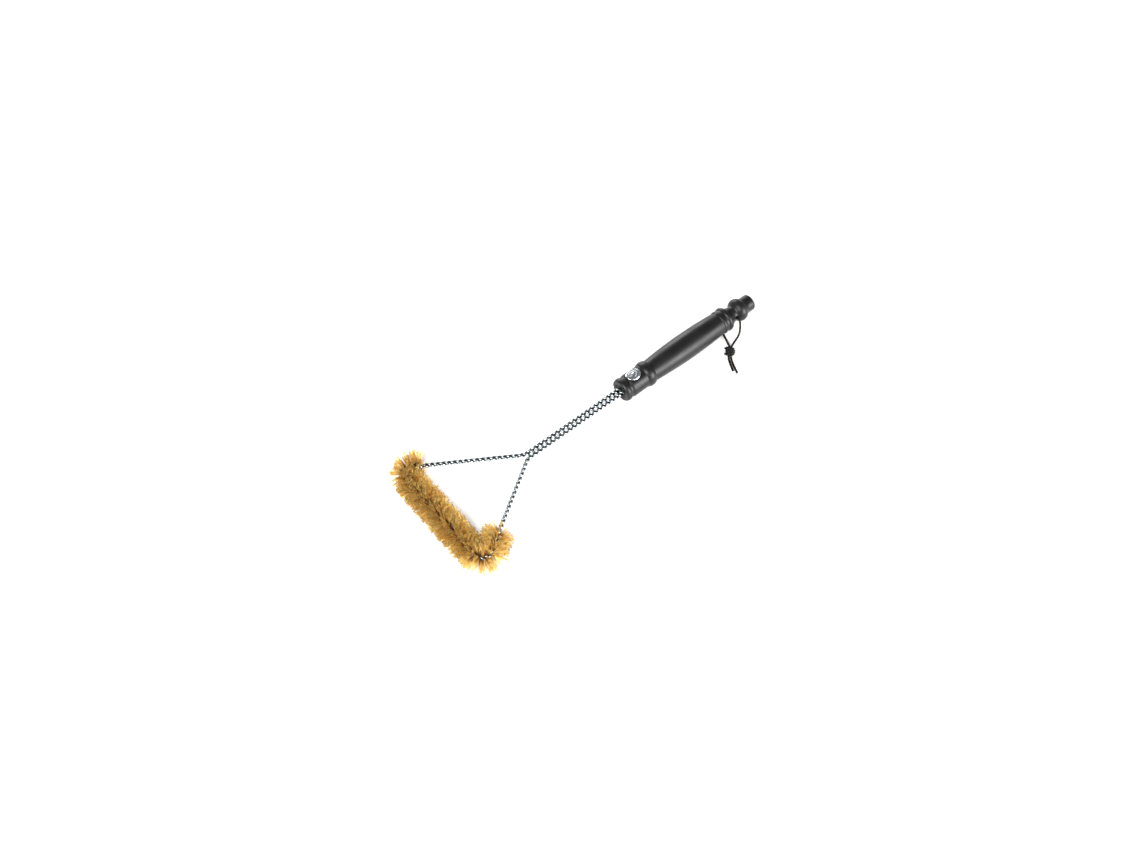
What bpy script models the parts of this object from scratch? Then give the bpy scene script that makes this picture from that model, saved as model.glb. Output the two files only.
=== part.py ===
"""Grill cleaning brush: a turned hollow handle, a twisted-in-wire triangular head and a hanging loop.

The brush lies on its bristles. +X runs from the handle to the head, +Z is up and Z = 0 is the table.
All values are metres and radians unless a name says otherwise.
"""
import bmesh
import bpy
from math import asin, atan, atan2, cos, pi, radians, sin, sqrt, tan
from mathutils import Matrix, Vector

# Driving dimensions
REAR_END_X = -0.2300        # flat rear end of the handle
HANDLE_LENGTH = 0.1960      # front face to rear end
CAP_LENGTH = 0.0326         # visible part of the end cap, behind the grip
BAR_X = 0.2132              # centre line of the front bar
HEAD_HALF_WIDTH = 0.0760    # from the middle to the point where an arm and the front bar would meet
FORK_X = 0.0993             # where the stems spread into the arms
BRISTLE_RADIUS = 0.0168     # the bristles carry the head, so this is also the height of the axis
FORK_BEND_RADIUS = 0.015
CORNER_BEND_RADIUS = 0.009

WIRE_DIAMETER = 0.0025
TWIST_LEAD = 0.0120         # one full turn of the twist
TWIST_STEPS = 5             # sections in one full turn
WIRE_SIDES = 5

NEAR_BRISTLE_REACH = 0.0430     # bristles up the +Y arm, from the corner point
FAR_BRISTLE_REACH = 0.0260      # bristles up the -Y arm, from the corner point
FRONT_GROUPS = 3                # the front bar's bristles, in equal groups

BARREL_RADIUS = 0.0152      # the widest part of the grip
LAND_RADIUS = 0.0136        # the plain band that carries the badge
FRONT_RING_RADIUS = 0.0151
REAR_RING_RADIUS = 0.01455
REAR_RING_LENGTH = 0.0055
GRIP_REAR_RADIUS = 0.0100
GRIP_BORE_RADIUS = 0.0091
FRONT_WALL = 0.0100
NECK_RADIUS = 0.0090
NECK_LENGTH = 0.0074
CAP_BEAD_RADIUS = 0.0137
CAP_BEAD_LENGTH = 0.0119
CAP_END_RADIUS = 0.0098
CAP_SPIGOT_LENGTH = 0.0140

CLAMP_LENGTH = 0.0300
FERRULE_LENGTH = 0.0080
FERRULE_WALL = 0.0008
STEM_BEHIND_FERRULE = 0.0020

BADGE_LENGTH = 0.0180
BADGE_WIDTH = 0.0156
BADGE_THICKNESS = 0.0012
BADGE_FROM_FRONT = 0.0192   # front face of the handle to the middle of the badge
BADGE_TURN = radians(-8.5)  # from the top of the handle towards -Y
PAD_THICKNESS = 0.0003
RECESS_DEPTH = 0.0014
PAD_INSET = 0.0010

CORD_DIAMETER = 0.0025
CORD_HOLE_RADIUS = 0.0017
CORD_HOLE_TILT = radians(15)
KNOT_HALF_SIZE = (0.0078, 0.0048, 0.0034)

# Clearances and mesh density
GAP = 0.0003                # between pieces that touch
WIRE_GAP = 0.0004           # between the two wires of a twist
CHANNEL_CLEARANCE = 0.0005  # round a stem in the clamp, and round the wires in the bristles
HOLE_CLEARANCE = 0.00085    # round both stems in the handle's front hole
LATHE_SEGMENTS = 32
SLEEVE_SEGMENTS = 20

# Derived
AXIS_Z = BRISTLE_RADIUS
TWIST_RADIUS = (WIRE_DIAMETER + WIRE_GAP) / 2       # centre of the twist to the centre of a wire
STEM_RADIUS = TWIST_RADIUS + WIRE_DIAMETER / 2
STEM_HALF_SPACING = STEM_RADIUS + GAP / 2
CHANNEL_RADIUS = STEM_RADIUS + CHANNEL_CLEARANCE
FRONT_HOLE_RADIUS = STEM_HALF_SPACING + STEM_RADIUS + HOLE_CLEARANCE

FRONT_FACE_X = REAR_END_X + HANDLE_LENGTH
GRIP_REAR_X = REAR_END_X + CAP_LENGTH
BADGE_X = FRONT_FACE_X - BADGE_FROM_FRONT
CORD_HOLE_X = GRIP_REAR_X - GAP - NECK_LENGTH / 2


def clear_scene():
    for obj in list(bpy.data.objects):
        bpy.data.objects.remove(obj, do_unlink=True)


def material(name, colour, roughness, metallic):
    made = bpy.data.materials.new(name)
    made.use_nodes = True
    shader = made.node_tree.nodes["Principled BSDF"]
    shader.inputs["Base Color"].default_value = (*colour, 1.0)
    shader.inputs["Roughness"].default_value = roughness
    shader.inputs["Metallic"].default_value = metallic
    return made


def add_object(name, data, finish):
    data.materials.append(finish)
    obj = bpy.data.objects.new(name, data)
    bpy.context.scene.collection.objects.link(obj)
    return obj


def object_from_bmesh(name, bm, finish, smooth=True):
    """Turn a closed bmesh into a named object, with its faces pointing out."""
    bmesh.ops.recalc_face_normals(bm, faces=bm.faces)
    if bm.calc_volume(signed=True) < 0:
        bmesh.ops.reverse_faces(bm, faces=bm.faces)
    mesh = bpy.data.meshes.new(name)
    bm.to_mesh(mesh)
    bm.free()
    if smooth:
        mesh.shade_smooth()
        mesh.set_sharp_from_angle(angle=radians(35))
    return add_object(name, mesh, finish)


def bridge(bm, first, second):
    """Join two closed rings of the same number of points with quads."""
    count = len(first)
    for i in range(count):
        j = (i + 1) % count
        bm.faces.new((first[i], first[j], second[j], second[i]))


def arc(start, end, bulge, steps):
    """Points of a circular arc after start up to end; bulge is its rise over half its chord."""
    begin, finish = Vector(start), Vector(end)
    half = (finish - begin).length / 2
    along = (finish - begin).normalized()
    outward = Vector((along.y, -along.x))
    rise = bulge * half
    radius = (half * half + rise * rise) / (2 * rise)
    centre = (begin + finish) / 2 + outward * (rise - radius)
    span = 4 * atan(bulge)
    return [tuple(centre + Matrix.Rotation(span * i / steps, 2) @ (begin - centre))
            for i in range(1, steps + 1)]


def profile(*steps):
    """An outline of (x, radius) points; a step of four values is an arc: x, radius, bulge, steps."""
    points = []
    for step in steps:
        if len(step) == 2:
            points.append(step)
        else:
            points.extend(arc(points[-1], (step[0], step[1]), step[2], step[3]))
    return points


def lathe(outline, segments=LATHE_SEGMENTS):
    """Turn a closed outline of (x, radius) points round the handle's axis. Points at radius 0 are poles."""
    bm = bmesh.new()
    rings = []
    for x, radius in outline:
        if radius == 0:
            rings.append([bm.verts.new((x, 0, AXIS_Z))])
            continue
        ring = []
        for i in range(segments):
            turn = 2 * pi * i / segments
            ring.append(bm.verts.new((x, radius * sin(turn), AXIS_Z + radius * cos(turn))))
        rings.append(ring)
    for first, second in zip(rings, rings[1:] + rings[:1]):
        if len(first) == len(second) == 1:
            continue
        if len(first) > 1 and len(second) > 1:
            bridge(bm, first, second)
            continue
        pole, ring = (first[0], second) if len(first) == 1 else (second[0], first)
        for i in range(segments):
            bm.faces.new((pole, ring[i], ring[(i + 1) % segments]))
    return bm


def cut(target, cutter):
    """Subtract a cutter from a target, and keep the cutter as a hidden guide."""
    cutter.hide_render = True
    cutter.display_type = "WIRE"
    modifier = target.modifiers.new("cut_" + cutter.name, "BOOLEAN")
    modifier.operation = "DIFFERENCE"
    modifier.solver = "EXACT"
    modifier.object = cutter


def badge_plate(inner_radius, outer_radius, crown, length, width, rings=3, segments=24):
    """An oval plate wrapped round the top of the handle; crown is how much its middle rises."""
    bm = bmesh.new()

    def point(radius, share, turn):
        along = share * length / 2 * cos(turn)
        round_the_top = BADGE_TURN + share * width / 2 * sin(turn) / LAND_RADIUS
        return bm.verts.new((BADGE_X + along, radius * sin(round_the_top),
                             AXIS_Z + radius * cos(round_the_top)))

    sides = []
    for base, rise in ((inner_radius, 0), (outer_radius, crown)):
        circles = [[point(base + rise * (1 - (k / rings) ** 2), k / rings, 2 * pi * i / segments)
                    for i in range(segments)] for k in range(1, rings + 1)]
        middle = point(base + rise, 0, 0)
        for i in range(segments):
            bm.faces.new((middle, circles[0][i], circles[0][(i + 1) % segments]))
        for first, second in zip(circles, circles[1:]):
            bridge(bm, first, second)
        sides.append(circles[-1])
    bridge(bm, sides[0], sides[1])
    return bm


def make_handle(plastic):
    """The hollow grip, open at its front hole and at its rear, where the cap's spigot goes in."""
    groove_x = FRONT_FACE_X - 0.0080
    land_front = FRONT_FACE_X - 0.0115
    land_rear = FRONT_FACE_X - 0.0312
    ring_front = land_rear - 0.0010
    ring_rear = ring_front - 0.0095
    barrel_front = ring_rear - 0.0008
    barrel_rear = GRIP_REAR_X + 0.0178
    widest_x = (barrel_front + barrel_rear) / 2
    bead_rear = barrel_rear - 0.0050
    groove_rear = bead_rear - 0.0024
    ring_end = groove_rear - REAR_RING_LENGTH
    outline = profile(
        (FRONT_FACE_X, FRONT_HOLE_RADIUS),
        (FRONT_FACE_X, 0.0126),
        (groove_x + 0.0018, 0.0134, 0.28, 4),
        (groove_x + 0.0008, 0.0127),
        (groove_x - 0.0010, 0.0127),
        (land_front, LAND_RADIUS),
        (land_rear, LAND_RADIUS - 0.0004),
        (ring_front, FRONT_RING_RADIUS - 0.0013),
        (ring_rear, FRONT_RING_RADIUS - 0.0013, 0.27, 5),
        (barrel_front, 0.0128),
        (widest_x, BARREL_RADIUS, 0.019, 4),
        (barrel_rear, 0.0133, 0.018, 4),
        (bead_rear, 0.0133, 0.32, 4),
        (groove_rear, 0.0133),
        (ring_end, 0.0133, 2 * (REAR_RING_RADIUS - 0.0133) / REAR_RING_LENGTH, 5),
        (ring_end - 0.0007, 0.0126),
        (GRIP_REAR_X, GRIP_REAR_RADIUS, -0.15, 3),
        (GRIP_REAR_X, GRIP_BORE_RADIUS),
        (FRONT_FACE_X - FRONT_WALL, GRIP_BORE_RADIUS),
        (FRONT_FACE_X - FRONT_WALL, FRONT_HOLE_RADIUS),
    )
    grip = object_from_bmesh("handle_grip", lathe(outline), plastic)
    recess = badge_plate(LAND_RADIUS - RECESS_DEPTH, LAND_RADIUS + RECESS_DEPTH, 0,
                         BADGE_LENGTH + 2 * GAP, BADGE_WIDTH + 2 * GAP)
    cut(grip, object_from_bmesh("badge_recess", recess, plastic))


def make_end_cap(plastic):
    """The end cap: a spigot in the grip's bore, a deep neck with the cord's hole, a bead and a plain end."""
    spigot_radius = GRIP_BORE_RADIUS - GAP
    spigot_front = GRIP_REAR_X + CAP_SPIGOT_LENGTH
    shoulder_x = GRIP_REAR_X - GAP
    shoulder_radius = GRIP_REAR_RADIUS - GAP
    bead_edge_radius = 0.0109
    bead_front = shoulder_x - NECK_LENGTH
    bead_rear = bead_front - CAP_BEAD_LENGTH
    bead_bulge = 2 * (CAP_BEAD_RADIUS - bead_edge_radius) / CAP_BEAD_LENGTH

    def neck_bulge(radius):
        """The bulge of half the neck, level at the cord's hole and rising to a radius."""
        return -tan(atan2(radius - NECK_RADIUS, NECK_LENGTH / 2) / 2)

    outline = profile(
        (spigot_front, 0),
        (spigot_front, spigot_radius - 0.0008),
        (spigot_front - 0.0008, spigot_radius),
        (shoulder_x, spigot_radius),
        (shoulder_x, shoulder_radius),
        (CORD_HOLE_X, NECK_RADIUS, neck_bulge(shoulder_radius), 3),
        (bead_front, bead_edge_radius, neck_bulge(bead_edge_radius), 4),
        (bead_rear, bead_edge_radius, bead_bulge, 6),
        (bead_rear - 0.0020, CAP_END_RADIUS + 0.0004),
        (bead_rear - 0.0036, CAP_END_RADIUS),
        (REAR_END_X + 0.0022, CAP_END_RADIUS),
        (REAR_END_X, CAP_END_RADIUS - 0.0022, 0.41, 3),
        (REAR_END_X, 0),
    )
    cap = object_from_bmesh("handle_end_cap", lathe(outline), plastic)
    drill = bmesh.new()
    bmesh.ops.create_cone(drill, cap_ends=True, segments=14, radius1=CORD_HOLE_RADIUS,
                          radius2=CORD_HOLE_RADIUS, depth=4 * NECK_RADIUS)
    hole = object_from_bmesh("cord_hole_drill", drill, plastic)
    hole.rotation_euler = (CORD_HOLE_TILT - pi / 2, 0, 0)
    hole.location = (CORD_HOLE_X, 0, AXIS_Z)
    cut(cap, hole)


def make_badge(metal, adhesive):
    floor_radius = LAND_RADIUS - RECESS_DEPTH
    pad_bottom = floor_radius + GAP
    pad_top = pad_bottom + PAD_THICKNESS
    badge_bottom = pad_top + GAP
    pad = badge_plate(pad_bottom, pad_top, 0, BADGE_LENGTH - 2 * PAD_INSET,
                      BADGE_WIDTH - 2 * PAD_INSET)
    object_from_bmesh("badge_adhesive_pad", pad, adhesive)
    plate = badge_plate(badge_bottom, badge_bottom + BADGE_THICKNESS * 0.75,
                        BADGE_THICKNESS * 0.25, BADGE_LENGTH, BADGE_WIDTH)
    object_from_bmesh("badge", plate, metal)


def extrude_outline(name, outline, x_front, x_rear, finish, hole=None):
    """A prism along X from an outline of (y, z) points about the axis, with an optional hole."""
    bm = bmesh.new()

    def ring(points, x):
        return [bm.verts.new((x, y, AXIS_Z + z)) for y, z in points]

    front, rear = ring(outline, x_front), ring(outline, x_rear)
    bridge(bm, front, rear)
    if hole:
        hole_front, hole_rear = ring(hole, x_front), ring(hole, x_rear)
        bridge(bm, hole_front, hole_rear)
        bridge(bm, front, hole_front)
        bridge(bm, rear, hole_rear)
    else:
        bm.faces.new(front)
        bm.faces.new(rear)
    return object_from_bmesh(name, bm, finish)


def oblong(half_spacing, radius, steps=6):
    """A slot shape round both stems: two half circles joined by straight sides."""
    points = []
    for side in (1, -1):
        for i in range(steps + 1):
            turn = (-pi / 2 + pi * i / steps) if side > 0 else (pi / 2 + pi * i / steps)
            points.append((side * half_spacing + radius * cos(turn), radius * sin(turn)))
    return points


def make_stem_anchor(polymer, steel):
    """Two clamp halves in the front of the bore, and the band crimped on the stem ends behind them."""
    front = FRONT_FACE_X - FRONT_WALL - GAP
    rear = front - CLAMP_LENGTH
    outer = GRIP_BORE_RADIUS - GAP
    split = GAP / 2
    steps = 12
    for name, side in (("stem_clamp_upper", 1), ("stem_clamp_lower", -1)):
        edge = sqrt(outer ** 2 - split ** 2)
        limit = atan2(split, edge)
        outline = [(outer * cos(limit + (pi - 2 * limit) * i / steps),
                    side * outer * sin(limit + (pi - 2 * limit) * i / steps))
                   for i in range(steps + 1)]
        drop = asin(split / CHANNEL_RADIUS)
        turns = [pi - drop - (pi / 2 - drop) * i / 4 for i in range(5)]
        groove = [(-STEM_HALF_SPACING + CHANNEL_RADIUS * cos(turn),
                   side * CHANNEL_RADIUS * sin(turn)) for turn in turns]
        outline += groove + [(-y, z) for y, z in reversed(groove)]
        extrude_outline(name, outline, front, rear, polymer)
    ferrule_front = rear - GAP
    inner = STEM_RADIUS + GAP
    extrude_outline("stem_ferrule", oblong(STEM_HALF_SPACING, inner + FERRULE_WALL),
                    ferrule_front, ferrule_front - FERRULE_LENGTH, steel,
                    hole=oblong(STEM_HALF_SPACING, inner))
    return ferrule_front - FERRULE_LENGTH - STEM_BEHIND_FERRULE


def rounded_path(corners, radii, step):
    """Points, tangents and lengths along a flat path of straight runs and tangent arcs."""
    pieces = []
    start = corners[0]
    for before, corner, after, radius in zip(corners, corners[1:], corners[2:], radii):
        to, away = (corner - before).normalized(), (after - corner).normalized()
        turn = atan2(to.cross(away).z, to.dot(away))
        reach = radius * tan(abs(turn) / 2)
        pieces.append(("line", start, corner - to * reach, 0, to))
        pieces.append(("arc", corner - to * reach, turn, radius, to))
        start = corner + away * reach
    pieces.append(("line", start, corners[-1], 0, (corners[-1] - start).normalized()))
    lengths = [(p[2] - p[1]).length if p[0] == "line" else abs(p[2]) * p[3] for p in pieces]
    total = sum(lengths)
    count = round(total / step)
    points = []
    for i in range(count + 1):
        s = total * i / count
        for piece, length in zip(pieces, lengths):
            if s <= length or piece is pieces[-1]:
                break
            s -= length
        kind, begin, detail, radius, tangent = piece
        if kind == "line":
            points.append((begin + tangent * s, tangent))
            continue
        side = 1 if detail > 0 else -1
        normal = Vector((-tangent.y, tangent.x, 0)) * side
        angle = s / radius
        along = tangent * cos(angle) + normal * sin(angle)
        place = begin + tangent * (radius * sin(angle)) + normal * (radius * (1 - cos(angle)))
        points.append((place, along))
    return points, total


def head_corners(stem_end_x):
    """The centre line's corner points, from the +Y stem end round the head to the -Y stem end."""
    side = [Vector((stem_end_x, STEM_HALF_SPACING, AXIS_Z)),
            Vector((FORK_X, STEM_HALF_SPACING, AXIS_Z)),
            Vector((BAR_X, HEAD_HALF_WIDTH, AXIS_Z))]
    return side + [Vector((p.x, -p.y, p.z)) for p in reversed(side)]


def make_core_wires(wire, stem_end_x):
    """Two wires twisted together along one line, from one stem end round the head to the other."""
    radii = (FORK_BEND_RADIUS, CORNER_BEND_RADIUS, CORNER_BEND_RADIUS, FORK_BEND_RADIUS)
    points, total = rounded_path(head_corners(stem_end_x), radii, TWIST_LEAD / TWIST_STEPS)
    turn_each = 2 * pi / TWIST_STEPS
    up = Vector((0, 0, 1))
    for name, phase in (("core_wire_a", 0), ("core_wire_b", pi)):
        bm = bmesh.new()
        rings = []
        for i, (place, tangent) in enumerate(points):
            turn = phase + turn_each * i
            across = up.cross(tangent)
            out = across * cos(turn) + up * sin(turn)
            lift = tangent.cross(out)
            rings.append([bm.verts.new(place + out * (TWIST_RADIUS + WIRE_DIAMETER / 2 * cos(a))
                                       + lift * (WIRE_DIAMETER / 2 * sin(a)))
                          for a in (2 * pi * k / WIRE_SIDES for k in range(WIRE_SIDES))])
        for first, second in zip(rings, rings[1:]):
            bridge(bm, first, second)
        bm.faces.new(rings[0])
        bm.faces.new(rings[-1])
        object_from_bmesh(name, bm, wire, smooth=False)


def sleeve(start, end, segments=SLEEVE_SEGMENTS):
    """A plain bristle sleeve with a bore for the twisted wires, from start to end."""
    along = (end - start).normalized()
    up = Vector((0, 0, 1))
    across = up.cross(along)
    bm = bmesh.new()
    loops = []
    for place in (start, end):
        for radius in (BRISTLE_RADIUS, CHANNEL_RADIUS):
            loops.append([bm.verts.new(place + (across * cos(a) + up * sin(a)) * radius)
                          for a in (2 * pi * k / segments for k in range(segments))])
    bridge(bm, loops[0], loops[2])
    bridge(bm, loops[1], loops[3])
    bridge(bm, loops[0], loops[1])
    bridge(bm, loops[2], loops[3])
    return bm


def mitre(bm, point, normal):
    """Cut away what lies beyond a plane, and close the cut."""
    geometry = list(bm.verts) + list(bm.edges) + list(bm.faces)
    bmesh.ops.bisect_plane(bm, geom=geometry, plane_co=point, plane_no=normal, clear_outer=True,
                           dist=1e-7)
    open_edges = [edge for edge in bm.edges if len(edge.link_faces) == 1]
    bmesh.ops.holes_fill(bm, edges=open_edges, sides=0)


def corner_sleeve(bend_centre, first_out, turn, segments=SLEEVE_SEGMENTS):
    """Bristles fanned round a bend: a wedge whose inner edge stops just short of the bend's axis."""
    inner_limit = CORNER_BEND_RADIUS - GAP
    edge = pi - atan2(sqrt(BRISTLE_RADIUS ** 2 - inner_limit ** 2), inner_limit)
    margin = GAP / 2 / CORNER_BEND_RADIUS
    up = Vector((0, 0, 1))
    steps = 6
    bm = bmesh.new()
    fans = {BRISTLE_RADIUS: [], CHANNEL_RADIUS: []}
    for i in range(steps + 1):
        angle = -(margin + (turn - 2 * margin) * i / steps)
        out = Matrix.Rotation(angle, 3, "Z") @ first_out
        place = bend_centre + out * CORNER_BEND_RADIUS
        for radius, rings in fans.items():
            half = edge if radius == BRISTLE_RADIUS else pi - pi / (segments + 1)
            turns = [half * (2 * k / segments - 1) for k in range(segments + 1)]
            rings.append([bm.verts.new(place + out * (radius * cos(a)) + up * (radius * sin(a)))
                          for a in turns])
    outer, inner = fans.values()
    for rings in (outer, inner):
        for first, second in zip(rings, rings[1:]):
            bridge(bm, first, second)
    bridge(bm, outer[0], inner[0])
    bridge(bm, outer[-1], inner[-1])
    return bm


def mirrored(bm):
    """The same shape on the other side of the brush."""
    for vert in bm.verts:
        vert.co.y = -vert.co.y
    return bm


def make_bristles(brass):
    """The head's brass bristles as plain sleeves round the wires: arms, corners and front bar."""
    fork = Vector((FORK_X, STEM_HALF_SPACING, AXIS_Z))
    corner = Vector((BAR_X, HEAD_HALF_WIDTH, AXIS_Z))
    arm = (corner - fork).normalized()
    bar = Vector((0, -1, 0))
    turn = arm.angle(bar)
    bend_start = CORNER_BEND_RADIUS * tan(turn / 2)
    inward = (bar - arm).normalized()
    bend_centre = corner + inward * (CORNER_BEND_RADIUS / cos(turn / 2))
    bar_side = Vector((-inward.y, inward.x, 0))
    bar_side = bar_side if bar_side.dot(bar) > 0 else -bar_side
    mitre_shift = bar_side * (GAP / 2)

    for name, reach, place in (("near", NEAR_BRISTLE_REACH, lambda bm: bm),
                               ("far", FAR_BRISTLE_REACH, mirrored)):
        on_arm = sleeve(corner - arm * (bend_start + GAP / 2), corner - arm * reach)
        mitre(on_arm, corner - mitre_shift, bar_side)
        object_from_bmesh("bristles_" + name + "_arm", place(on_arm), brass)
        fan = corner_sleeve(bend_centre, Vector((-arm.y, arm.x, 0)), turn)
        object_from_bmesh("bristles_" + name + "_corner", place(fan), brass)

    half_bar = HEAD_HALF_WIDTH - bend_start
    group_width = 2 * half_bar / FRONT_GROUPS
    for i in range(FRONT_GROUPS):
        low = -half_bar + group_width * i + GAP / 2
        high = low + group_width - GAP
        group = sleeve(Vector((BAR_X, low, AXIS_Z)), Vector((BAR_X, high, AXIS_Z)))
        mitre(group, corner + mitre_shift, -bar_side)
        mirrored(group)
        mitre(group, corner + mitre_shift, -bar_side)
        mirrored(group)
        object_from_bmesh(f"bristles_front_{i + 1}", group, brass)


# The cord's routes: each point is how far it lies ahead of the cord hole, then its own y and z.
BIGHT_ROUTE = [
    (0.0000, 0.00887, 0.01918), (0.0000, 0.0000, 0.0168), (0.0000, -0.00884, 0.01443),
    (0.0002, -0.0113, 0.0134), (0.0008, -0.0133, 0.0115), (0.0019, -0.0142, 0.0088),
    (0.0036, -0.0139, 0.0059), (0.0060, -0.0123, 0.0034), (0.0089, -0.0096, 0.0020),
    (0.0116, -0.0064, 0.0015), (0.0139, -0.0028, 0.0014), (0.0158, 0.0009, 0.0014),
    (0.0171, 0.0043, 0.0014),
]
NEAR_PIVOT = (0.0000, 0.00985, 0.01944)
NEAR_ROUTE = [
    (0.0001, 0.0106, 0.0196), (0.0005, 0.0127, 0.0194), (0.0009, 0.0147, 0.0182),
    (0.0012, 0.0158, 0.0162), (0.0013, 0.0163, 0.0136), (0.0015, 0.0168, 0.0108),
    (0.0021, 0.0176, 0.0080), (0.0034, 0.0187, 0.0054), (0.0056, 0.0200, 0.0034),
    (0.0088, 0.0213, 0.0021), (0.0127, 0.0226, 0.0016), (0.0170, 0.0241, 0.0016),
    (0.0205, 0.0254, 0.0019), (0.0226, 0.0264, 0.0024),
]
FAR_ROUTE = [
    (0.0178, 0.0065, 0.0014), (0.0187, 0.0095, 0.0014), (0.0198, 0.0128, 0.0014),
    (0.0210, 0.0160, 0.0015), (0.0224, 0.0193, 0.0017), (0.0237, 0.0222, 0.0021),
    (0.0246, 0.0242, 0.0025),
]
KNOT_MIDDLE = (0.0296, 0.0312, 0.0036)
KNOT_HEADING = radians(45.2)
FIRST_TAIL_ROUTE = [
    (0.0366, 0.0362, 0.0018), (0.0392, 0.0408, 0.0015), (0.0419, 0.0464, 0.0014),
    (0.0445, 0.0520, 0.0014),
]
SECOND_TAIL_ROUTE = [
    (0.0345, 0.0383, 0.0018), (0.0374, 0.0438, 0.0015), (0.0402, 0.0502, 0.0014),
    (0.0428, 0.0572, 0.0014),
]
CORD_POINT_SPACING = 2 * CORD_DIAMETER


def from_hole(point):
    return Vector((CORD_HOLE_X + point[0], point[1], point[2]))


def smooth_points(route, spacing):
    """Even points along a smooth curve through the route's own points."""
    ends = [2 * route[0] - route[1]] + route + [2 * route[-1] - route[-2]]
    fine = [route[0]]
    for before, start, end, after in zip(ends, ends[1:], ends[2:], ends[3:]):
        for i in range(1, 9):
            t = i / 8
            fine.append(0.5 * (2 * start + (end - before) * t
                               + (2 * before - 5 * start + 4 * end - after) * t ** 2
                               + (3 * start - before - 3 * end + after) * t ** 3))
    lengths = [0.0]
    for first, second in zip(fine, fine[1:]):
        lengths.append(lengths[-1] + (second - first).length)
    count = max(2, round(lengths[-1] / spacing))
    points, k = [], 0
    for i in range(count + 1):
        wanted = lengths[-1] * i / count
        while k < len(fine) - 2 and lengths[k + 1] < wanted:
            k += 1
        share = (wanted - lengths[k]) / (lengths[k + 1] - lengths[k])
        points.append(fine[k].lerp(fine[k + 1], share))
    return points


def cord_tube(name, route, finish):
    curve = bpy.data.curves.new(name, "CURVE")
    curve.dimensions = "3D"
    curve.bevel_depth = CORD_DIAMETER / 2
    curve.bevel_resolution = 2
    curve.use_fill_caps = True
    points = smooth_points([from_hole(p) for p in route], CORD_POINT_SPACING)
    spline = curve.splines.new("POLY")
    spline.points.add(len(points) - 1)
    for slot, place in zip(spline.points, points):
        slot.co = (*place, 1.0)
    return add_object(name, curve, finish)


def make_cord(leather):
    """The cord: a fixed bight through the hole and under the handle, and a loop that swings."""
    cord_tube("hang_cord_bight", BIGHT_ROUTE, leather)
    loop = [cord_tube(name, route, leather)
            for name, route in (("hang_cord_near_strand", NEAR_ROUTE),
                                ("hang_cord_far_strand", FAR_ROUTE),
                                ("hang_cord_first_tail", FIRST_TAIL_ROUTE),
                                ("hang_cord_second_tail", SECOND_TAIL_ROUTE))]
    ball = bmesh.new()
    bmesh.ops.create_uvsphere(ball, u_segments=14, v_segments=8, radius=1.0)
    size = Matrix.Diagonal((*KNOT_HALF_SIZE, 1.0))
    heading = Matrix.Rotation(KNOT_HEADING, 4, "Z")
    place = Matrix.Translation(from_hole(KNOT_MIDDLE))
    bmesh.ops.transform(ball, matrix=place @ heading @ size, verts=ball.verts)
    loop.append(object_from_bmesh("hang_cord_knot", ball, leather))

    pivot = bpy.data.objects.new("hang_loop_pivot", None)
    pivot.location = from_hole(NEAR_PIVOT)
    bpy.context.scene.collection.objects.link(pivot)
    for obj in loop:
        obj.parent = pivot
        obj.location = -pivot.location


def main():
    clear_scene()
    plastic = material("Handle plastic", (0.030, 0.031, 0.034), 0.42, 0.0)
    polymer = material("Clamp nylon", (0.55, 0.55, 0.52), 0.55, 0.0)
    steel = material("Plated steel", (0.60, 0.61, 0.63), 0.35, 1.0)
    wire = material("Galvanised wire", (0.50, 0.53, 0.54), 0.40, 1.0)
    brass = material("Brass bristle", (0.72, 0.50, 0.16), 0.38, 1.0)
    adhesive = material("Adhesive foam", (0.80, 0.80, 0.78), 0.80, 0.0)
    leather = material("Leather cord", (0.020, 0.019, 0.020), 0.60, 0.0)
    make_handle(plastic)
    make_end_cap(plastic)
    make_badge(steel, adhesive)
    stem_end_x = make_stem_anchor(polymer, steel)
    make_core_wires(wire, stem_end_x)
    make_bristles(brass)
    make_cord(leather)


main()
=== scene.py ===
"""Looks for a grill cleaning brush: turned handle, twisted-in wire head and a leather hanging cord.

The brush lies on its bristles. +X runs from the handle to the head, +Z is up and Z = 0 is the
table. All lengths are metres unless a name says otherwise.
"""
from math import atan, atan2, cos, pi, radians, sin, tan, tau

import bmesh
import bpy
import numpy as np
from mathutils import Matrix, Vector


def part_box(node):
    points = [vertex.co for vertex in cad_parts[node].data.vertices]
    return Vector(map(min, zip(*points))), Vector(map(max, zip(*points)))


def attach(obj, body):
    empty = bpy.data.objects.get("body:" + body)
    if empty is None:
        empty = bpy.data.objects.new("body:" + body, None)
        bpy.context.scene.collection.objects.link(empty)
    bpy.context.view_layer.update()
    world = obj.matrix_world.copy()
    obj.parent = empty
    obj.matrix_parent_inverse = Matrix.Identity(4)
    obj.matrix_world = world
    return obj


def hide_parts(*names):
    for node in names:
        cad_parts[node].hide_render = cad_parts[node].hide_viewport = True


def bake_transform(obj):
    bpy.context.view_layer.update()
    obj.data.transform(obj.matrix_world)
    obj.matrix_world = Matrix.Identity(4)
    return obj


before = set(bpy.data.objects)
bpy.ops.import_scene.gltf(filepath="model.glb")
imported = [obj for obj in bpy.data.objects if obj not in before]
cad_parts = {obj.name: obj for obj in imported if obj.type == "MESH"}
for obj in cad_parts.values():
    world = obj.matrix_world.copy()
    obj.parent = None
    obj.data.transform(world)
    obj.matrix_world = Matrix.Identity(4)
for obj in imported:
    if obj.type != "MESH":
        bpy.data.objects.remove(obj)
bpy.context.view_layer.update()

bl_info = {
    "name": "Grill Brush Maker",
    "version": (1, 0, 0),
    "blender": (4, 5, 0),
    "location": "View3D > Sidebar > Grill Brush",
    "description": "Builds a triangular grill cleaning brush with its handle, bristles and cord",
    "category": "Add Mesh",
}

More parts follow.
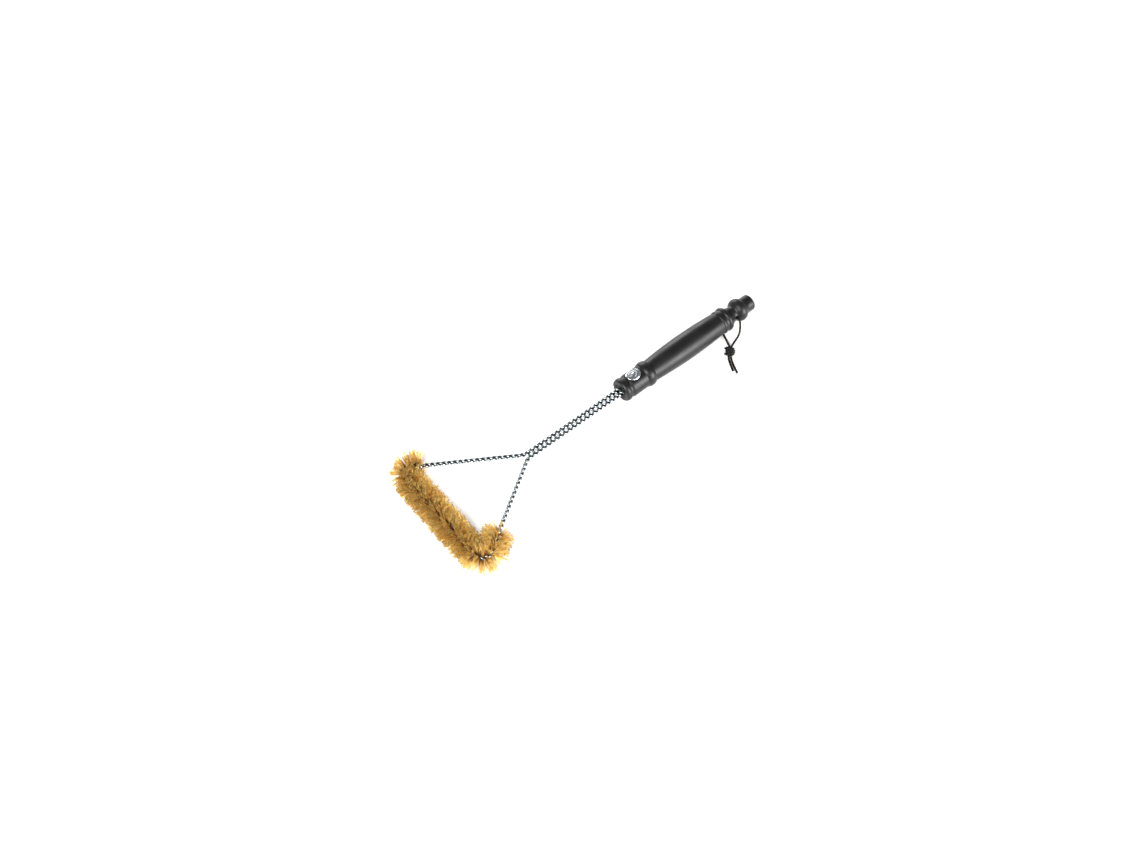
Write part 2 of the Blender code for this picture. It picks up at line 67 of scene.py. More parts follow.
GRIP_LOW, GRIP_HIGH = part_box("handle_grip")
CAP_LOW, CAP_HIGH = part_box("handle_end_cap")
BADGE_LOW, BADGE_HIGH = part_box("badge")
BAR_LOW, BAR_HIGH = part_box("bristles_front_2")

AXIS_Z = (CAP_LOW.z + CAP_HIGH.z) / 2       # the handle's axis, and the head's centre line
GAP = 0.0003                                # between pieces that touch

# the handle, from its front face back
FRONT_X, GRIP_REAR_X, REAR_END_X = GRIP_HIGH.x, GRIP_LOW.x, CAP_LOW.x
FRONT_WALL = 0.0100                         # solid plastic behind the front face
GRIP_BORE_RADIUS = 0.0091
LAND_RADIUS = 0.0136                        # the plain band that carries the badge
RING_FOOT_RADIUS = 0.0138                   # where the ring behind the band meets the handle
WAIST_RADIUS = 0.0133                       # the barrel's rear end and the mouldings behind it
REAR_RING_RADIUS = 0.01455
REAR_RING_LENGTH = 0.0055
SPIGOT_RADIUS = 0.0088                      # the end cap's plug inside the grip
NECK_LENGTH = 0.0074
SHOULDER_RADIUS = 0.0097                    # the neck's front end
BEAD_FOOT_RADIUS = 0.0109                   # both ends of the end cap's bead
CAP_BEAD_RADIUS = 0.0137
CAP_BEAD_LENGTH = 0.0119
CAP_END_RADIUS = 0.0098
CORD_HOLE_X = GRIP_REAR_X - GAP - NECK_LENGTH / 2
CORD_HOLE_RADIUS = 0.0017
CORD_HOLE_TILT = radians(15)

# the badge
BADGE_X = (BADGE_LOW.x + BADGE_HIGH.x) / 2
BADGE_LENGTH = BADGE_HIGH.x - BADGE_LOW.x
BADGE_WIDTH = 0.0156
BADGE_TURN = radians(-8.5)                  # from the top of the handle towards -Y

# the head
STEM_END_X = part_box("core_wire_a")[0].x
FORK_X = 0.0993                             # where the stems spread into the arms
FORK_BEND_RADIUS = 0.015
HEAD_HALF_WIDTH = 0.0760                    # to the point where an arm and the front bar would meet
CORNER_BEND_RADIUS = 0.009
BAR_X = (BAR_LOW.x + BAR_HIGH.x) / 2

CAMERA_AIM = (0.03927, 0.00112, AXIS_Z)


def linear(text):
    """The linear colour of an sRGB hex string."""
    shares = [int(text[i:i + 2], 16) / 255 for i in (1, 3, 5)]
    return [s / 12.92 if s <= 0.04045 else ((s + 0.055) / 1.055) ** 2.4 for s in shares]


def tint(text, label, note):
    """A colour property whose default is an sRGB hex string."""
    return bpy.props.FloatVectorProperty(name=label, description=note, subtype="COLOR",
                                         size=3, min=0, max=1, default=linear(text))


def size(default, label, note):
    """A length property."""
    return bpy.props.FloatProperty(name=label, description=note, default=default, min=0,
                                   precision=5, unit="LENGTH")


def amount(default, label, note, most=1.0, unit="NONE"):
    """A number property, plain or with a unit of its own."""
    return bpy.props.FloatProperty(name=label, description=note, default=default, min=0,
                                   max=most, precision=3, unit=unit)


def angle(degrees, label, note):
    """An angle property."""
    return bpy.props.FloatProperty(name=label, description=note, default=radians(degrees),
                                   unit="ROTATION")


def number(default, label, note):
    """A whole number property."""
    return bpy.props.IntProperty(name=label, description=note, default=default, min=1)


class StudioSettings(bpy.types.PropertyGroup):
    lens: amount(44.43, "Lens", "Focal length of the camera", 200, "CAMERA")
    distance: size(1.5251, "Camera distance", "From the camera to the point it looks at")
    azimuth: angle(140.39, "Camera azimuth", "0 looks along +Y and 90 along -X")
    elevation: angle(57.14, "Camera elevation", "Height of the camera above the horizon")
    floor: tint("#f4f3f1", "Floor", "Colour of the sweep under the brush")
    key_power: amount(66.0, "Key light", "Power of the large soft light", 1000, "POWER")
    fill_power: amount(17.0, "Fill light", "Power of the second soft light", 1000, "POWER")
    head_power: amount(72.0, "Head light", "Power of the high light in front", 1000, "POWER")
    sky: amount(0.34, "Sky", "Strength of the even light from all round", 10)


class HandleSettings(bpy.types.PropertyGroup):
    segments: number(128, "Segments", "Faces round the turned handle")
    edge: size(0.0004, "Edge radius", "Rounding of the moulded edges")
    barrel_radius: size(0.0152, "Barrel radius", "Half the grip's widest diameter")
    neck_radius: size(0.0090, "Neck radius", "Half the diameter where the cord passes")
    colour: tint("#070708", "Plastic", "Colour of the moulded handle")
    grain: size(0.0004, "Grain", "Size of the moulded surface's fine texture")


class BadgeSettings(bpy.types.PropertyGroup):
    relief: size(0.00045, "Relief", "Height of the rim and the flutes")
    flutes: number(20, "Flutes", "Raised rays round the middle")
    beads: number(36, "Beads", "Beads inside the rim")
    colour: tint("#d4d7da", "Metal", "Colour of the cast badge")
    # the badge is drawn darker in its hollows, in this colour
    shade: tint("#50555c", "Hollow colour", "Colour left in the hollows")


class WireSettings(bpy.types.PropertyGroup):
    diameter: size(0.0027, "Wire diameter", "Diameter of each of the two wires")
    twist_radius: size(0.00135, "Twist radius", "From the twist's centre to each wire's centre")
    lead: size(0.0120, "Lead", "Length of one full turn of the twist")
    spacing: size(0.0007, "Step", "Length between sections along the wire")
    sides: number(16, "Sides", "Faces round each wire")
    stem_half_spacing: size(0.00285, "Stem spacing", "Half the distance between the stems")
    colour: tint("#a4abae", "Zinc", "Colour of the galvanised wire")
    shade: tint("#697073", "Zinc shade", "Colour of the duller zinc crystals")
    # painted shade: the colour laid between the two wires, where they shade each other
    gap_shade: tint("#1e2124", "Gap shade", "Colour left between the two wires")


class BristleSettings(bpy.types.PropertyGroup):
    radius: size(0.0171, "Reach", "From the twist's centre to the bristle tips")
    thickness: size(0.00048, "Thickness", "Diameter of one bristle, drawn coarser than real")
    per_metre: number(36000, "Bristles per metre", "Bristles along a metre of twisted wire")
    spread: angle(38, "Spread", "How far bristles turn away from the twist's own direction")
    lean: amount(0.20, "Lean", "How far bristles lean along the wire")
    bend: size(0.0022, "Bend", "How far a tip strays from a straight line")
    uneven: amount(0.07, "Uneven length", "Variation of the bristles' length")
    near_reach: size(0.0430, "Near arm", "Bristles up the +Y arm from the corner point")
    far_reach: size(0.0260, "Far arm", "Bristles up the -Y arm from the corner point")
    tuft: number(5, "Tuft", "Bristles that lie together")
    seed: number(7, "Seed", "Fixes the random variation")
    bright: tint("#fff0a0", "Bright brass", "Colour of the brightest bristles")
    deep: tint("#e6a840", "Deep brass", "Colour of the darkest bristles")
    # painted shade: the bristles' colour near the twisted wires, where they shade each other
    root: tint("#8f5a22", "Root shade", "Colour near the twisted wires")
    tip: tint("#5f4526", "Cut tip", "Colour of the dull cut ends")


class CordSettings(bpy.types.PropertyGroup):
    diameter: size(0.0025, "Cord diameter", "Diameter of the leather cord")
    sides: number(16, "Sides", "Faces round the cord")
    colour: tint("#060506", "Leather", "Colour of the dyed leather")
    worn: tint("#171514", "Worn leather", "Colour on the raised grain")


def add(tree, kind, inputs=(), **settings):
    """Add a node with its settings.

    inputs maps sockets to values or to the sockets that feed them, or lists these in the
    node's own order.
    """
    node = tree.nodes.new(kind)
    for key, value in settings.items():
        setattr(node, key, value)
    pairs = inputs.items() if isinstance(inputs, dict) else enumerate(inputs)
    for key, value in pairs:
        socket = node.inputs[key]
        if isinstance(value, bpy.types.NodeSocket):
            tree.links.new(value, socket)
        elif socket.type == "RGBA":
            socket.default_value = (*value, 1.0)
        else:
            socket.default_value = value
    return node


def new_material(name):
    """An empty Principled material: its tree, its shader and its object coordinates."""
    made = bpy.data.materials.new(name)
    made.use_nodes = True
    tree = made.node_tree
    shader = tree.nodes["Principled BSDF"]
    place = add(tree, "ShaderNodeTexCoord").outputs["Object"]
    return made, tree, shader, place


def feed(tree, shader, colour, roughness, height, strength, depth=0.00003):
    """Give a shader its colour and roughness, and the bump that a height makes in its surface."""
    bump = add(tree, "ShaderNodeBump", {"Height": height, "Strength": strength,
                                        "Distance": depth})
    for key, source in (("Base Color", colour), ("Roughness", roughness),
                        ("Normal", bump.outputs[0])):
        tree.links.new(source, shader.inputs[key])


def add_object(name, mesh):
    """Link a new object to the scene, unturned and at the origin."""
    obj = bpy.data.objects.new(name, mesh)
    bpy.context.scene.collection.objects.link(obj)
    return obj


def finished(name, bm, finish, sharp=35):
    """Turn a closed bmesh into a smooth object whose faces point out."""
    bmesh.ops.recalc_face_normals(bm, faces=bm.faces)
    if bm.calc_volume(signed=True) < 0:
        bmesh.ops.reverse_faces(bm, faces=bm.faces)
    mesh = bpy.data.meshes.new(name)
    bm.to_mesh(mesh)
    bm.free()
    mesh.shade_smooth()
    mesh.set_sharp_from_angle(angle=radians(sharp))
    mesh.materials.append(finish)
    return add_object(name, mesh)


def evaluated_mesh(obj):
    """An object's shape after its modifiers, as a plain mesh."""
    graph = bpy.context.evaluated_depsgraph_get()
    return bpy.data.meshes.new_from_object(obj.evaluated_get(graph), depsgraph=graph,
                                           preserve_all_data_layers=True)


def place_on(obj, body, nodes):
    """Let a piece stand for its CAD nodes and move with a body."""
    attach(obj, body)
    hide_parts(*nodes)


def bridge(bm, first, second):
    """Join two closed rings of the same number of points with quads."""
    count = len(first)
    return [bm.faces.new((first[i], first[(i + 1) % count], second[(i + 1) % count], second[i]))
            for i in range(count)]


def sleeve(bm, rings):
    """Join rings one after another and close both ends."""
    for first, second in zip(rings, rings[1:]):
        bridge(bm, first, second)
    bm.faces.new(rings[0])
    bm.faces.new(rings[-1])


def arc(start, end, bulge, steps=14):
    """Points of a circular arc after start up to end; bulge is its rise over half its chord."""
    begin, finish = Vector(start), Vector(end)
    half = (finish - begin).length / 2
    along = (finish - begin).normalized()
    outward = Vector((along.y, -along.x))
    rise = bulge * half
    radius = (half * half + rise * rise) / (2 * rise)
    centre = (begin + finish) / 2 + outward * (rise - radius)
    span = 4 * atan(bulge)
    return [tuple(centre + Matrix.Rotation(span * i / steps, 2) @ (begin - centre))
            for i in range(1, steps + 1)]


def profile(*steps):
    """An outline of (x, radius) points; a step of three values is an arc: x, radius, bulge."""
    points = []
    for step in steps:
        points.extend([step] if len(step) == 2 else arc(points[-1], step[:2], step[2]))
    return points


def eased(points, radius, sharp=radians(14)):
    """The same closed outline with its corners rounded."""
    made = []
    ring = [Vector(p) for p in points]
    for before, corner, after in zip(ring[-1:] + ring[:-1], ring, ring[1:] + ring[:1]):
        back, ahead = before - corner, after - corner
        turn = pi - back.angle(ahead)
        if turn < sharp or corner.y == 0:
            made.append(tuple(corner))
            continue
        reach = min(radius * tan(turn / 2), 0.45 * back.length, 0.45 * ahead.length)
        start, end = corner + back.normalized() * reach, corner + ahead.normalized() * reach
        for i in range(4):
            t = i / 3
            made.append(tuple(start * (1 - t) ** 2 + corner * (2 * t * (1 - t)) + end * t ** 2))
    return made


def turned(outline, segments):
    """A closed shape made by turning an outline of (x, radius) points round the handle's axis."""
    bm = bmesh.new()
    rings = []
    for x, radius in outline:
        count = segments if radius > 0 else 1
        rings.append([bm.verts.new((x, radius * sin(tau * i / count), AXIS_Z
                                    + radius * cos(tau * i / count))) for i in range(count)])
    for first, second in zip(rings, rings[1:] + rings[:1]):
        if len(first) == len(second) > 1:
            bridge(bm, first, second)
        elif len(first) != len(second):
            pole, ring = (first[0], second) if len(first) == 1 else (second[0], first)
            for i in range(segments):
                bm.faces.new((pole, ring[i], ring[(i + 1) % segments]))
    return bm


def cut(target, cutter_bm):
    """Cut a closed shape out of an object."""
    cutter = finished("cutter", cutter_bm, target.data.materials[0])
    modifier = target.modifiers.new("cut", "BOOLEAN")
    modifier.operation = "DIFFERENCE"
    modifier.solver = "EXACT"
    modifier.object = cutter
    mesh = evaluated_mesh(target)
    target.modifiers.clear()
    target.data = mesh
    bpy.data.objects.remove(cutter)


def satin_plastic():
    """Moulded polypropylene, black with a spark-eroded satin skin.

    The eye sees soft, wide, grey highlights that break up slightly, and almost no colour.
    """
    settings = bpy.context.scene.brush_handle
    made, tree, shader, place = new_material("Moulded black polypropylene")
    cloudy = add(tree, "ShaderNodeTexNoise", {"Vector": place, "Scale": 60.0,
                                              "Detail": 3.0}).outputs[0]
    colour = add(tree, "ShaderNodeMix", {0: cloudy, 6: settings.colour,
                                         7: [c * 1.7 for c in settings.colour]}, data_type="RGBA")
    roughness = add(tree, "ShaderNodeMapRange", (cloudy, 0.3, 0.7, 0.38, 0.48))
    # the eroded mould leaves a grain of a few tenths of a millimetre
    grain = add(tree, "ShaderNodeTexNoise", {"Vector": place, "Scale": 1 / settings.grain,
                                             "Detail": 2.0})
    feed(tree, shader, colour.outputs[2], roughness.outputs[0], grain.outputs[0], 0.35)
    shader.inputs["IOR"].default_value = 1.49
    shader.inputs["Specular IOR Level"].default_value = 0.32
    return made


def cast_metal():
    """Die-cast zinc, chrome plated, and drawn darker in its hollows.

    The eye sees bright, sharp raised edges against a dull dark ground.
    """
    settings = bpy.context.scene.brush_badge
    made, tree, shader, place = new_material("Chromed zinc casting")
    # the colour is darker in the badge's hollows, mottled by fine noise
    hollow = add(tree, "ShaderNodeAttribute", attribute_name="hollow").outputs["Fac"]
    fine = add(tree, "ShaderNodeTexNoise", {"Vector": place, "Scale": 1800.0,
                                            "Detail": 3.0}).outputs[0]
    hollow_mottle = add(tree, "ShaderNodeMath", (hollow, fine), operation="MULTIPLY").outputs[0]
    hollow_dark = add(tree, "ShaderNodeMapRange", (hollow_mottle, 0.12, 0.5)).outputs[0]
    colour = add(tree, "ShaderNodeMix", {0: hollow_dark, 6: settings.colour, 7: settings.shade},
                 data_type="RGBA")
    roughness = add(tree, "ShaderNodeMapRange", (hollow_dark, 0.0, 1.0, 0.2, 0.5))
    feed(tree, shader, colour.outputs[2], roughness.outputs[0], fine, 0.25)
    shader.inputs["Metallic"].default_value = 1.0
    return made


def galvanised_wire():
    """Drawn steel wire with a zinc coat.

    The eye sees cool grey with dull crystals and fine drawing lines; painted shade darkens it
    between the two wires.
    """
    settings = bpy.context.scene.brush_wires
    made, tree, shader, place = new_material("Galvanised steel wire")
    # zinc crystals about a millimetre across
    crystals = add(tree, "ShaderNodeTexVoronoi", {"Vector": place, "Scale": 1 / 0.0011,
                                                  "Randomness": 1.0})
    grain = add(tree, "ShaderNodeSeparateColor", {0: crystals.outputs["Color"]}).outputs[0]
    dulled = add(tree, "ShaderNodeMapRange", (grain, 0.0, 1.0, 0.0, 0.7)).outputs[0]
    zinc = add(tree, "ShaderNodeMix", {0: dulled, 6: settings.colour, 7: settings.shade},
               data_type="RGBA").outputs[2]
    # painted shade: darker where the two wires face each other
    out = add(tree, "ShaderNodeAttribute", attribute_name="from_axis").outputs["Fac"]
    hollow = add(tree, "ShaderNodeMapRange", (out, 0.9, 0.7)).outputs[0]
    colour = add(tree, "ShaderNodeMix", {0: hollow, 6: zinc, 7: settings.gap_shade},
                 data_type="RGBA")
    polish = add(tree, "ShaderNodeMapRange", (grain, 0.0, 1.0, 0.16, 0.3)).outputs[0]
    roughness = add(tree, "ShaderNodeMath", (hollow, 0.3, polish), operation="MULTIPLY_ADD")
    drawn = add(tree, "ShaderNodeTexNoise", {"Vector": place, "Scale": 2500.0, "Detail": 2.0})
    feed(tree, shader, colour.outputs[2], roughness.outputs[0], drawn.outputs[0], 0.3)
    shader.inputs["Metallic"].default_value = 1.0
    return made


def brass_wire():
    """Hard-drawn brass bristle wire.

    The eye sees golden, shiny strands with painted shade darkening them towards their roots, and
    darker at their cut tips.
    """
    settings = bpy.context.scene.brush_bristles
    made, tree, shader, place = new_material("Drawn brass wire")
    colour = add(tree, "ShaderNodeMix", {
        0: add(tree, "ShaderNodeAttribute", attribute_name="strand_tone").outputs["Fac"],
        6: settings.deep, 7: settings.bright}, data_type="RGBA")
    reach = add(tree, "ShaderNodeAttribute", attribute_name="root_to_tip").outputs["Fac"]
    # painted shade darkens the bristles towards their roots; the cut tips are darker too
    for start, end, shade in ((0.6, 0.2, settings.root), (0.955, 0.995, settings.tip)):
        shaded = add(tree, "ShaderNodeMapRange", (reach, start, end)).outputs[0]
        colour = add(tree, "ShaderNodeMix", {0: shaded, 6: colour.outputs[2], 7: shade},
                     data_type="RGBA")
    tree.links.new(colour.outputs[2], shader.inputs["Base Color"])
    mottle = add(tree, "ShaderNodeTexNoise", {"Vector": place, "Scale": 700.0,
                                              "Detail": 2.0}).outputs[0]
    roughness = add(tree, "ShaderNodeMapRange", (mottle, 0.3, 0.7, 0.28, 0.42))
    tree.links.new(roughness.outputs[0], shader.inputs["Roughness"])
    # tarnish scatters part of the light
    shader.inputs["Metallic"].default_value = 0.55
    return made


def dyed_leather():
    """Round-cut cowhide cord, dyed black.

    The eye sees a soft, dark sheen broken by lengthwise creases.
    """
    settings = bpy.context.scene.brush_cord
    made, tree, shader, place = new_material("Dyed leather cord")
    along = add(tree, "ShaderNodeUVMap", uv_map="UVMap").outputs[0]
    # seven creases round the cord, each a few millimetres long
    stretched = add(tree, "ShaderNodeMapping", {"Vector": along, "Scale": (7.0, 0.35, 1.0)})
    creases = add(tree, "ShaderNodeTexNoise", {"Vector": stretched.outputs[0], "Scale": 1.0,
                                               "Detail": 4.0, "Distortion": 0.6})
    pores = add(tree, "ShaderNodeTexNoise", {"Vector": place, "Scale": 3000.0, "Detail": 2.0})
    rough = add(tree, "ShaderNodeMath", (creases.outputs[0], pores.outputs[0]),
                operation="ADD").outputs[0]
    raised = add(tree, "ShaderNodeMapRange", (rough, 0.95, 1.3)).outputs[0]
    colour = add(tree, "ShaderNodeMix", {0: raised, 6: settings.colour, 7: settings.worn},
                 data_type="RGBA")
    roughness = add(tree, "ShaderNodeMapRange", (rough, 0.7, 1.3, 0.45, 0.62))
    feed(tree, shader, colour.outputs[2], roughness.outputs[0], rough, 0.6, 0.0001)
    shader.inputs["Specular IOR Level"].default_value = 0.22
    return made


def hidden_finish(name, light, dark, grain, roughness, metallic, relief):
    """A mottled finish for the pieces inside the handle."""
    made, tree, shader, place = new_material(name)
    mottle = add(tree, "ShaderNodeTexNoise", {"Vector": place, "Scale": 1 / grain,
                                              "Detail": 3.0}).outputs[0]
    colour = add(tree, "ShaderNodeMix", {0: mottle, 6: linear(dark), 7: linear(light)},
                 data_type="RGBA")
    varied = add(tree, "ShaderNodeMapRange", (mottle, 0.3, 0.7, roughness - 0.06,
                                              roughness + 0.06))
    feed(tree, shader, colour.outputs[2], varied.outputs[0], mottle, 0.4, relief)
    shader.inputs["Metallic"].default_value = metallic
    return made


def sweep_paper(colour):
    """Matt background paper: the eye sees an even, pale ground with a faint tooth."""
    made, tree, shader, place = new_material("Matt background paper")
    tooth = add(tree, "ShaderNodeTexNoise", {"Vector": place, "Scale": 900.0, "Detail": 2.0})
    toned = add(tree, "ShaderNodeMix", {0: tooth.outputs[0], 6: [c * 0.97 for c in colour],
                                        7: colour}, data_type="RGBA")
    tree.links.new(toned.outputs[2], shader.inputs["Base Color"])
    shader.inputs["Roughness"].default_value = 0.9
    # the sweep is lit from behind a little
    shader.inputs["Emission Color"].default_value = (1.0, 1.0, 1.0, 1.0)
    shader.inputs["Emission Strength"].default_value = 0.1
    return made


class BRUSH_OT_studio(bpy.types.Operator):
    """Set the pale floor, the soft lights and the camera."""
    bl_idname = "grill_brush.studio"
    bl_label = "Studio"
    bl_options = {"REGISTER", "UNDO"}

    def execute(self, context):
        settings = context.scene.brush_studio
        aim = Vector(CAMERA_AIM)
        flat = cos(settings.elevation)
        back = Vector((sin(settings.azimuth) * flat, -cos(settings.azimuth) * flat,
                       sin(settings.elevation)))
        camera = bpy.data.cameras.new("Camera")
        camera.lens = settings.lens
        camera.sensor_width = 36.0
        camera.clip_start, camera.clip_end = 0.01, 50.0
        eye = add_object("Camera", camera)
        eye.location = aim + back * settings.distance
        eye.rotation_euler = (-back).to_track_quat("-Z", "Y").to_euler()
        context.scene.camera = eye

        bm = bmesh.new()
        bmesh.ops.create_grid(bm, x_segments=2, y_segments=2, size=6.0)
        mesh = bpy.data.meshes.new("floor")
        bm.to_mesh(mesh)
        bm.free()
        mesh.materials.append(sweep_paper(settings.floor))
        add_object("floor", mesh)

        for name, power, width, depth, place in (
                ("key_light", settings.key_power, 1.3, 0.9, (-0.66, 1.6, 0.48)),
                ("fill_light", settings.fill_power, 1.1, 0.25, (-0.55, -1.45, 0.42)),
                ("head_light", settings.head_power, 1.2, 1.2, (1.3, 0.5, 1.5))):
            lamp = bpy.data.lights.new(name, "AREA")
            lamp.shape = "RECTANGLE"
            lamp.size, lamp.size_y = width, depth
            lamp.energy = power
            light = add_object(name, lamp)
            light.location = place
            light.rotation_euler = (aim - Vector(place)).to_track_quat("-Z", "Y").to_euler()

        world = bpy.data.worlds.new("Soft studio")
        world.use_nodes = True
        sky = world.node_tree.nodes["Background"]
        sky.inputs["Color"].default_value = (1.0, 1.0, 1.0, 1.0)
        sky.inputs["Strength"].default_value = settings.sky
        context.scene.world = world
        context.scene.view_settings.view_transform = "Standard"
        return {"FINISHED"}


# The cord's routes: each point is how far it lies ahead of the cord hole, then its own y and z.
NEAR_ROUTE = [
    (0.0000, 0.0003, 0.01688), (0.0000, 0.0045, 0.0180), (0.0000, 0.00887, 0.01918),
    (0.0001, 0.0106, 0.0196), (0.0005, 0.0127, 0.0194), (0.0009, 0.0147, 0.0182),
    (0.0012, 0.0158, 0.0162), (0.0013, 0.0163, 0.0136), (0.0015, 0.0168, 0.0108),
    (0.0021, 0.0176, 0.0080), (0.0034, 0.0187, 0.0054), (0.0056, 0.0200, 0.0034),
    (0.0088, 0.0213, 0.0021), (0.0127, 0.0226, 0.0016), (0.0170, 0.0241, 0.0016),
    (0.0205, 0.0254, 0.0019), (0.0226, 0.0264, 0.0024), (0.0262, 0.0284, 0.0034),
    (0.0300, 0.0310, 0.0036), (0.0338, 0.0337, 0.0026), (0.0366, 0.0362, 0.0018),
    (0.0392, 0.0408, 0.0015), (0.0419, 0.0464, 0.0014), (0.0445, 0.0520, 0.0014),
]
FAR_ROUTE = [
    (0.0000, -0.0003, 0.01672), (0.0000, -0.0045, 0.0156), (0.0000, -0.00884, 0.01443),
    (0.0002, -0.0113, 0.0134), (0.0008, -0.0133, 0.0115), (0.0019, -0.0142, 0.0088),
    (0.0036, -0.0139, 0.0059), (0.0060, -0.0123, 0.0034), (0.0089, -0.0096, 0.0020),
    (0.0116, -0.0064, 0.0015), (0.0139, -0.0028, 0.0014), (0.0158, 0.0009, 0.0014),
    (0.0171, 0.0043, 0.0014), (0.0178, 0.0065, 0.0014), (0.0187, 0.0095, 0.0014),
    (0.0198, 0.0128, 0.0014), (0.0210, 0.0160, 0.0015), (0.0224, 0.0193, 0.0017),
    (0.0237, 0.0222, 0.0021), (0.0246, 0.0242, 0.0025), (0.0266, 0.0276, 0.0034),
    (0.0292, 0.0314, 0.0036), (0.0320, 0.0350, 0.0026), (0.0345, 0.0383, 0.0018),
    (0.0374, 0.0438, 0.0015), (0.0402, 0.0502, 0.0014), (0.0428, 0.0572, 0.0014),
]
KNOT_MIDDLE = (0.0296, 0.0312, 0.0036)
KNOT_HEADING = radians(45.2)
KNOT_HALF_SIZE = (0.0064, 0.0058, 0.0035)
KNOT_WRAPS = 4
KNOT_TAPER = 0.34                           # how much slimmer the outer wraps are
KNOT_STUB = (0.0016, -0.0034, 0.0)          # from the last wrap's end to the cord's own end


def smooth_line(route, spacing):
    """Even points along a smooth curve through the route's own points."""
    ends = np.array([2 * np.array(route[0]) - route[1], *route,
                     2 * np.array(route[-1]) - route[-2]])
    fine = [ends[1]]
    for before, start, end, after in zip(ends, ends[1:], ends[2:], ends[3:]):
        for t in np.linspace(0, 1, 13)[1:]:
            fine.append(0.5 * (2 * start + (end - before) * t
                               + (2 * before - 5 * start + 4 * end - after) * t ** 2
                               + (3 * start - before - 3 * end + after) * t ** 3))
    fine = np.array(fine)
    lengths = np.concatenate([[0], np.cumsum(np.linalg.norm(np.diff(fine, axis=0), axis=1))])
    even = np.linspace(0, lengths[-1], max(2, round(lengths[-1] / spacing)) + 1)
    return np.stack([np.interp(even, lengths, fine[:, k]) for k in range(3)], axis=1)


def tube(name, points, radius, sides, finish):
    """A round tube along a line, with its turn and its length in millimetres as its UV map."""
    places = [Vector(p) for p in points]
    tangents = [(a - b).normalized() for a, b in zip(places[1:] + places[-1:],
                                                     places[:1] + places[:-1])]
    side = tangents[0].orthogonal().normalized()
    bm = bmesh.new()
    uv = bm.loops.layers.uv.new("UVMap")
    rings, lengths, total = [], [], 0.0
    for i, (place, tangent) in enumerate(zip(places, tangents)):
        side = tangents[max(i - 1, 0)].rotation_difference(tangent) @ side
        lift = tangent.cross(side)
        total += (place - places[i - 1]).length if i else 0.0
        lengths.append(total * 1000)
        rings.append([bm.verts.new(place + (side * cos(a) + lift * sin(a)) * radius)
                      for a in (tau * k / sides for k in range(sides))])

    def wrap(faces, low, high):
        """Lay one row of faces on the UV map, from one length to another."""
        for k, face in enumerate(faces):
            corners = ((k, low), (k + 1, low), (k + 1, high), (k, high))
            for loop, (u, v) in zip(face.loops, corners):
                loop[uv].uv = (u / sides, v)

    for k in range(len(rings) - 1):
        wrap(bridge(bm, rings[k], rings[k + 1]), lengths[k], lengths[k + 1])
    for ring, out, length in ((rings[0], -tangents[0], 0.0), (rings[-1], tangents[-1],
                                                              lengths[-1])):
        middle = sum((v.co for v in ring), Vector()) / sides
        inner = [bm.verts.new(middle + (v.co - middle) * 0.8 + out * radius * 0.15)
                 for v in ring]
        wrap(bridge(bm, ring, inner), length, length + 0.3)
        bm.faces.new(inner)
    return finished(name, bm, finish, sharp=50)


class BRUSH_OT_hang_cord(bpy.types.Operator):
    """Make the leather cord: both its runs from the neck, and the knot that joins them."""
    bl_idname = "grill_brush.hang_cord"
    bl_label = "Hanging cord"
    bl_options = {"REGISTER", "UNDO"}

    def execute(self, context):
        settings = context.scene.brush_cord
        leather = dyed_leather()
        radius = settings.diameter / 2
        hole = np.array([CORD_HOLE_X, 0, 0])

        # wraps side by side, slimmer at both ends, whose ends stick out on one side
        turns = np.linspace(pi, pi + KNOT_WRAPS * tau, 48 * KNOT_WRAPS + 1)
        along = np.linspace(-1, 1, len(turns))
        girth = 1 - KNOT_TAPER * along ** 2
        wraps = np.stack([along * (KNOT_HALF_SIZE[0] - radius),
                          (KNOT_HALF_SIZE[1] - radius) * np.cos(turns) * girth,
                          (KNOT_HALF_SIZE[2] - radius) * np.sin(turns) * girth], axis=1)
        stub = np.array(KNOT_STUB)
        wraps = np.concatenate([[wraps[0] + stub], wraps, [wraps[-1] + stub * (-1, 1, 1)]])
        heading = np.array(Matrix.Rotation(KNOT_HEADING, 3, "Z"))
        knot = tube("leather_knot", smooth_line(wraps @ heading.T + hole + KNOT_MIDDLE, 0.0005),
                    radius, settings.sides, leather)
        place_on(knot, "hang_loop", ["hang_cord_knot"])

        # each run is held in the neck
        for name, route, nodes, start_y, end_y, pieces in (
                ("leather_cord_near", NEAR_ROUTE,
                 ["hang_cord_near_strand", "hang_cord_first_tail"], 0.0090, 0.0108, [knot]),
                ("leather_cord_far", FAR_ROUTE,
                 ["hang_cord_bight", "hang_cord_far_strand", "hang_cord_second_tail"],
                 0.0046, 0.0066, [])):
            line = smooth_line(np.array(route) + hole, 0.0008)
            cord = tube(name, line, radius, settings.sides, leather)
            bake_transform(cord)
            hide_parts(*nodes)
        return {"FINISHED"}


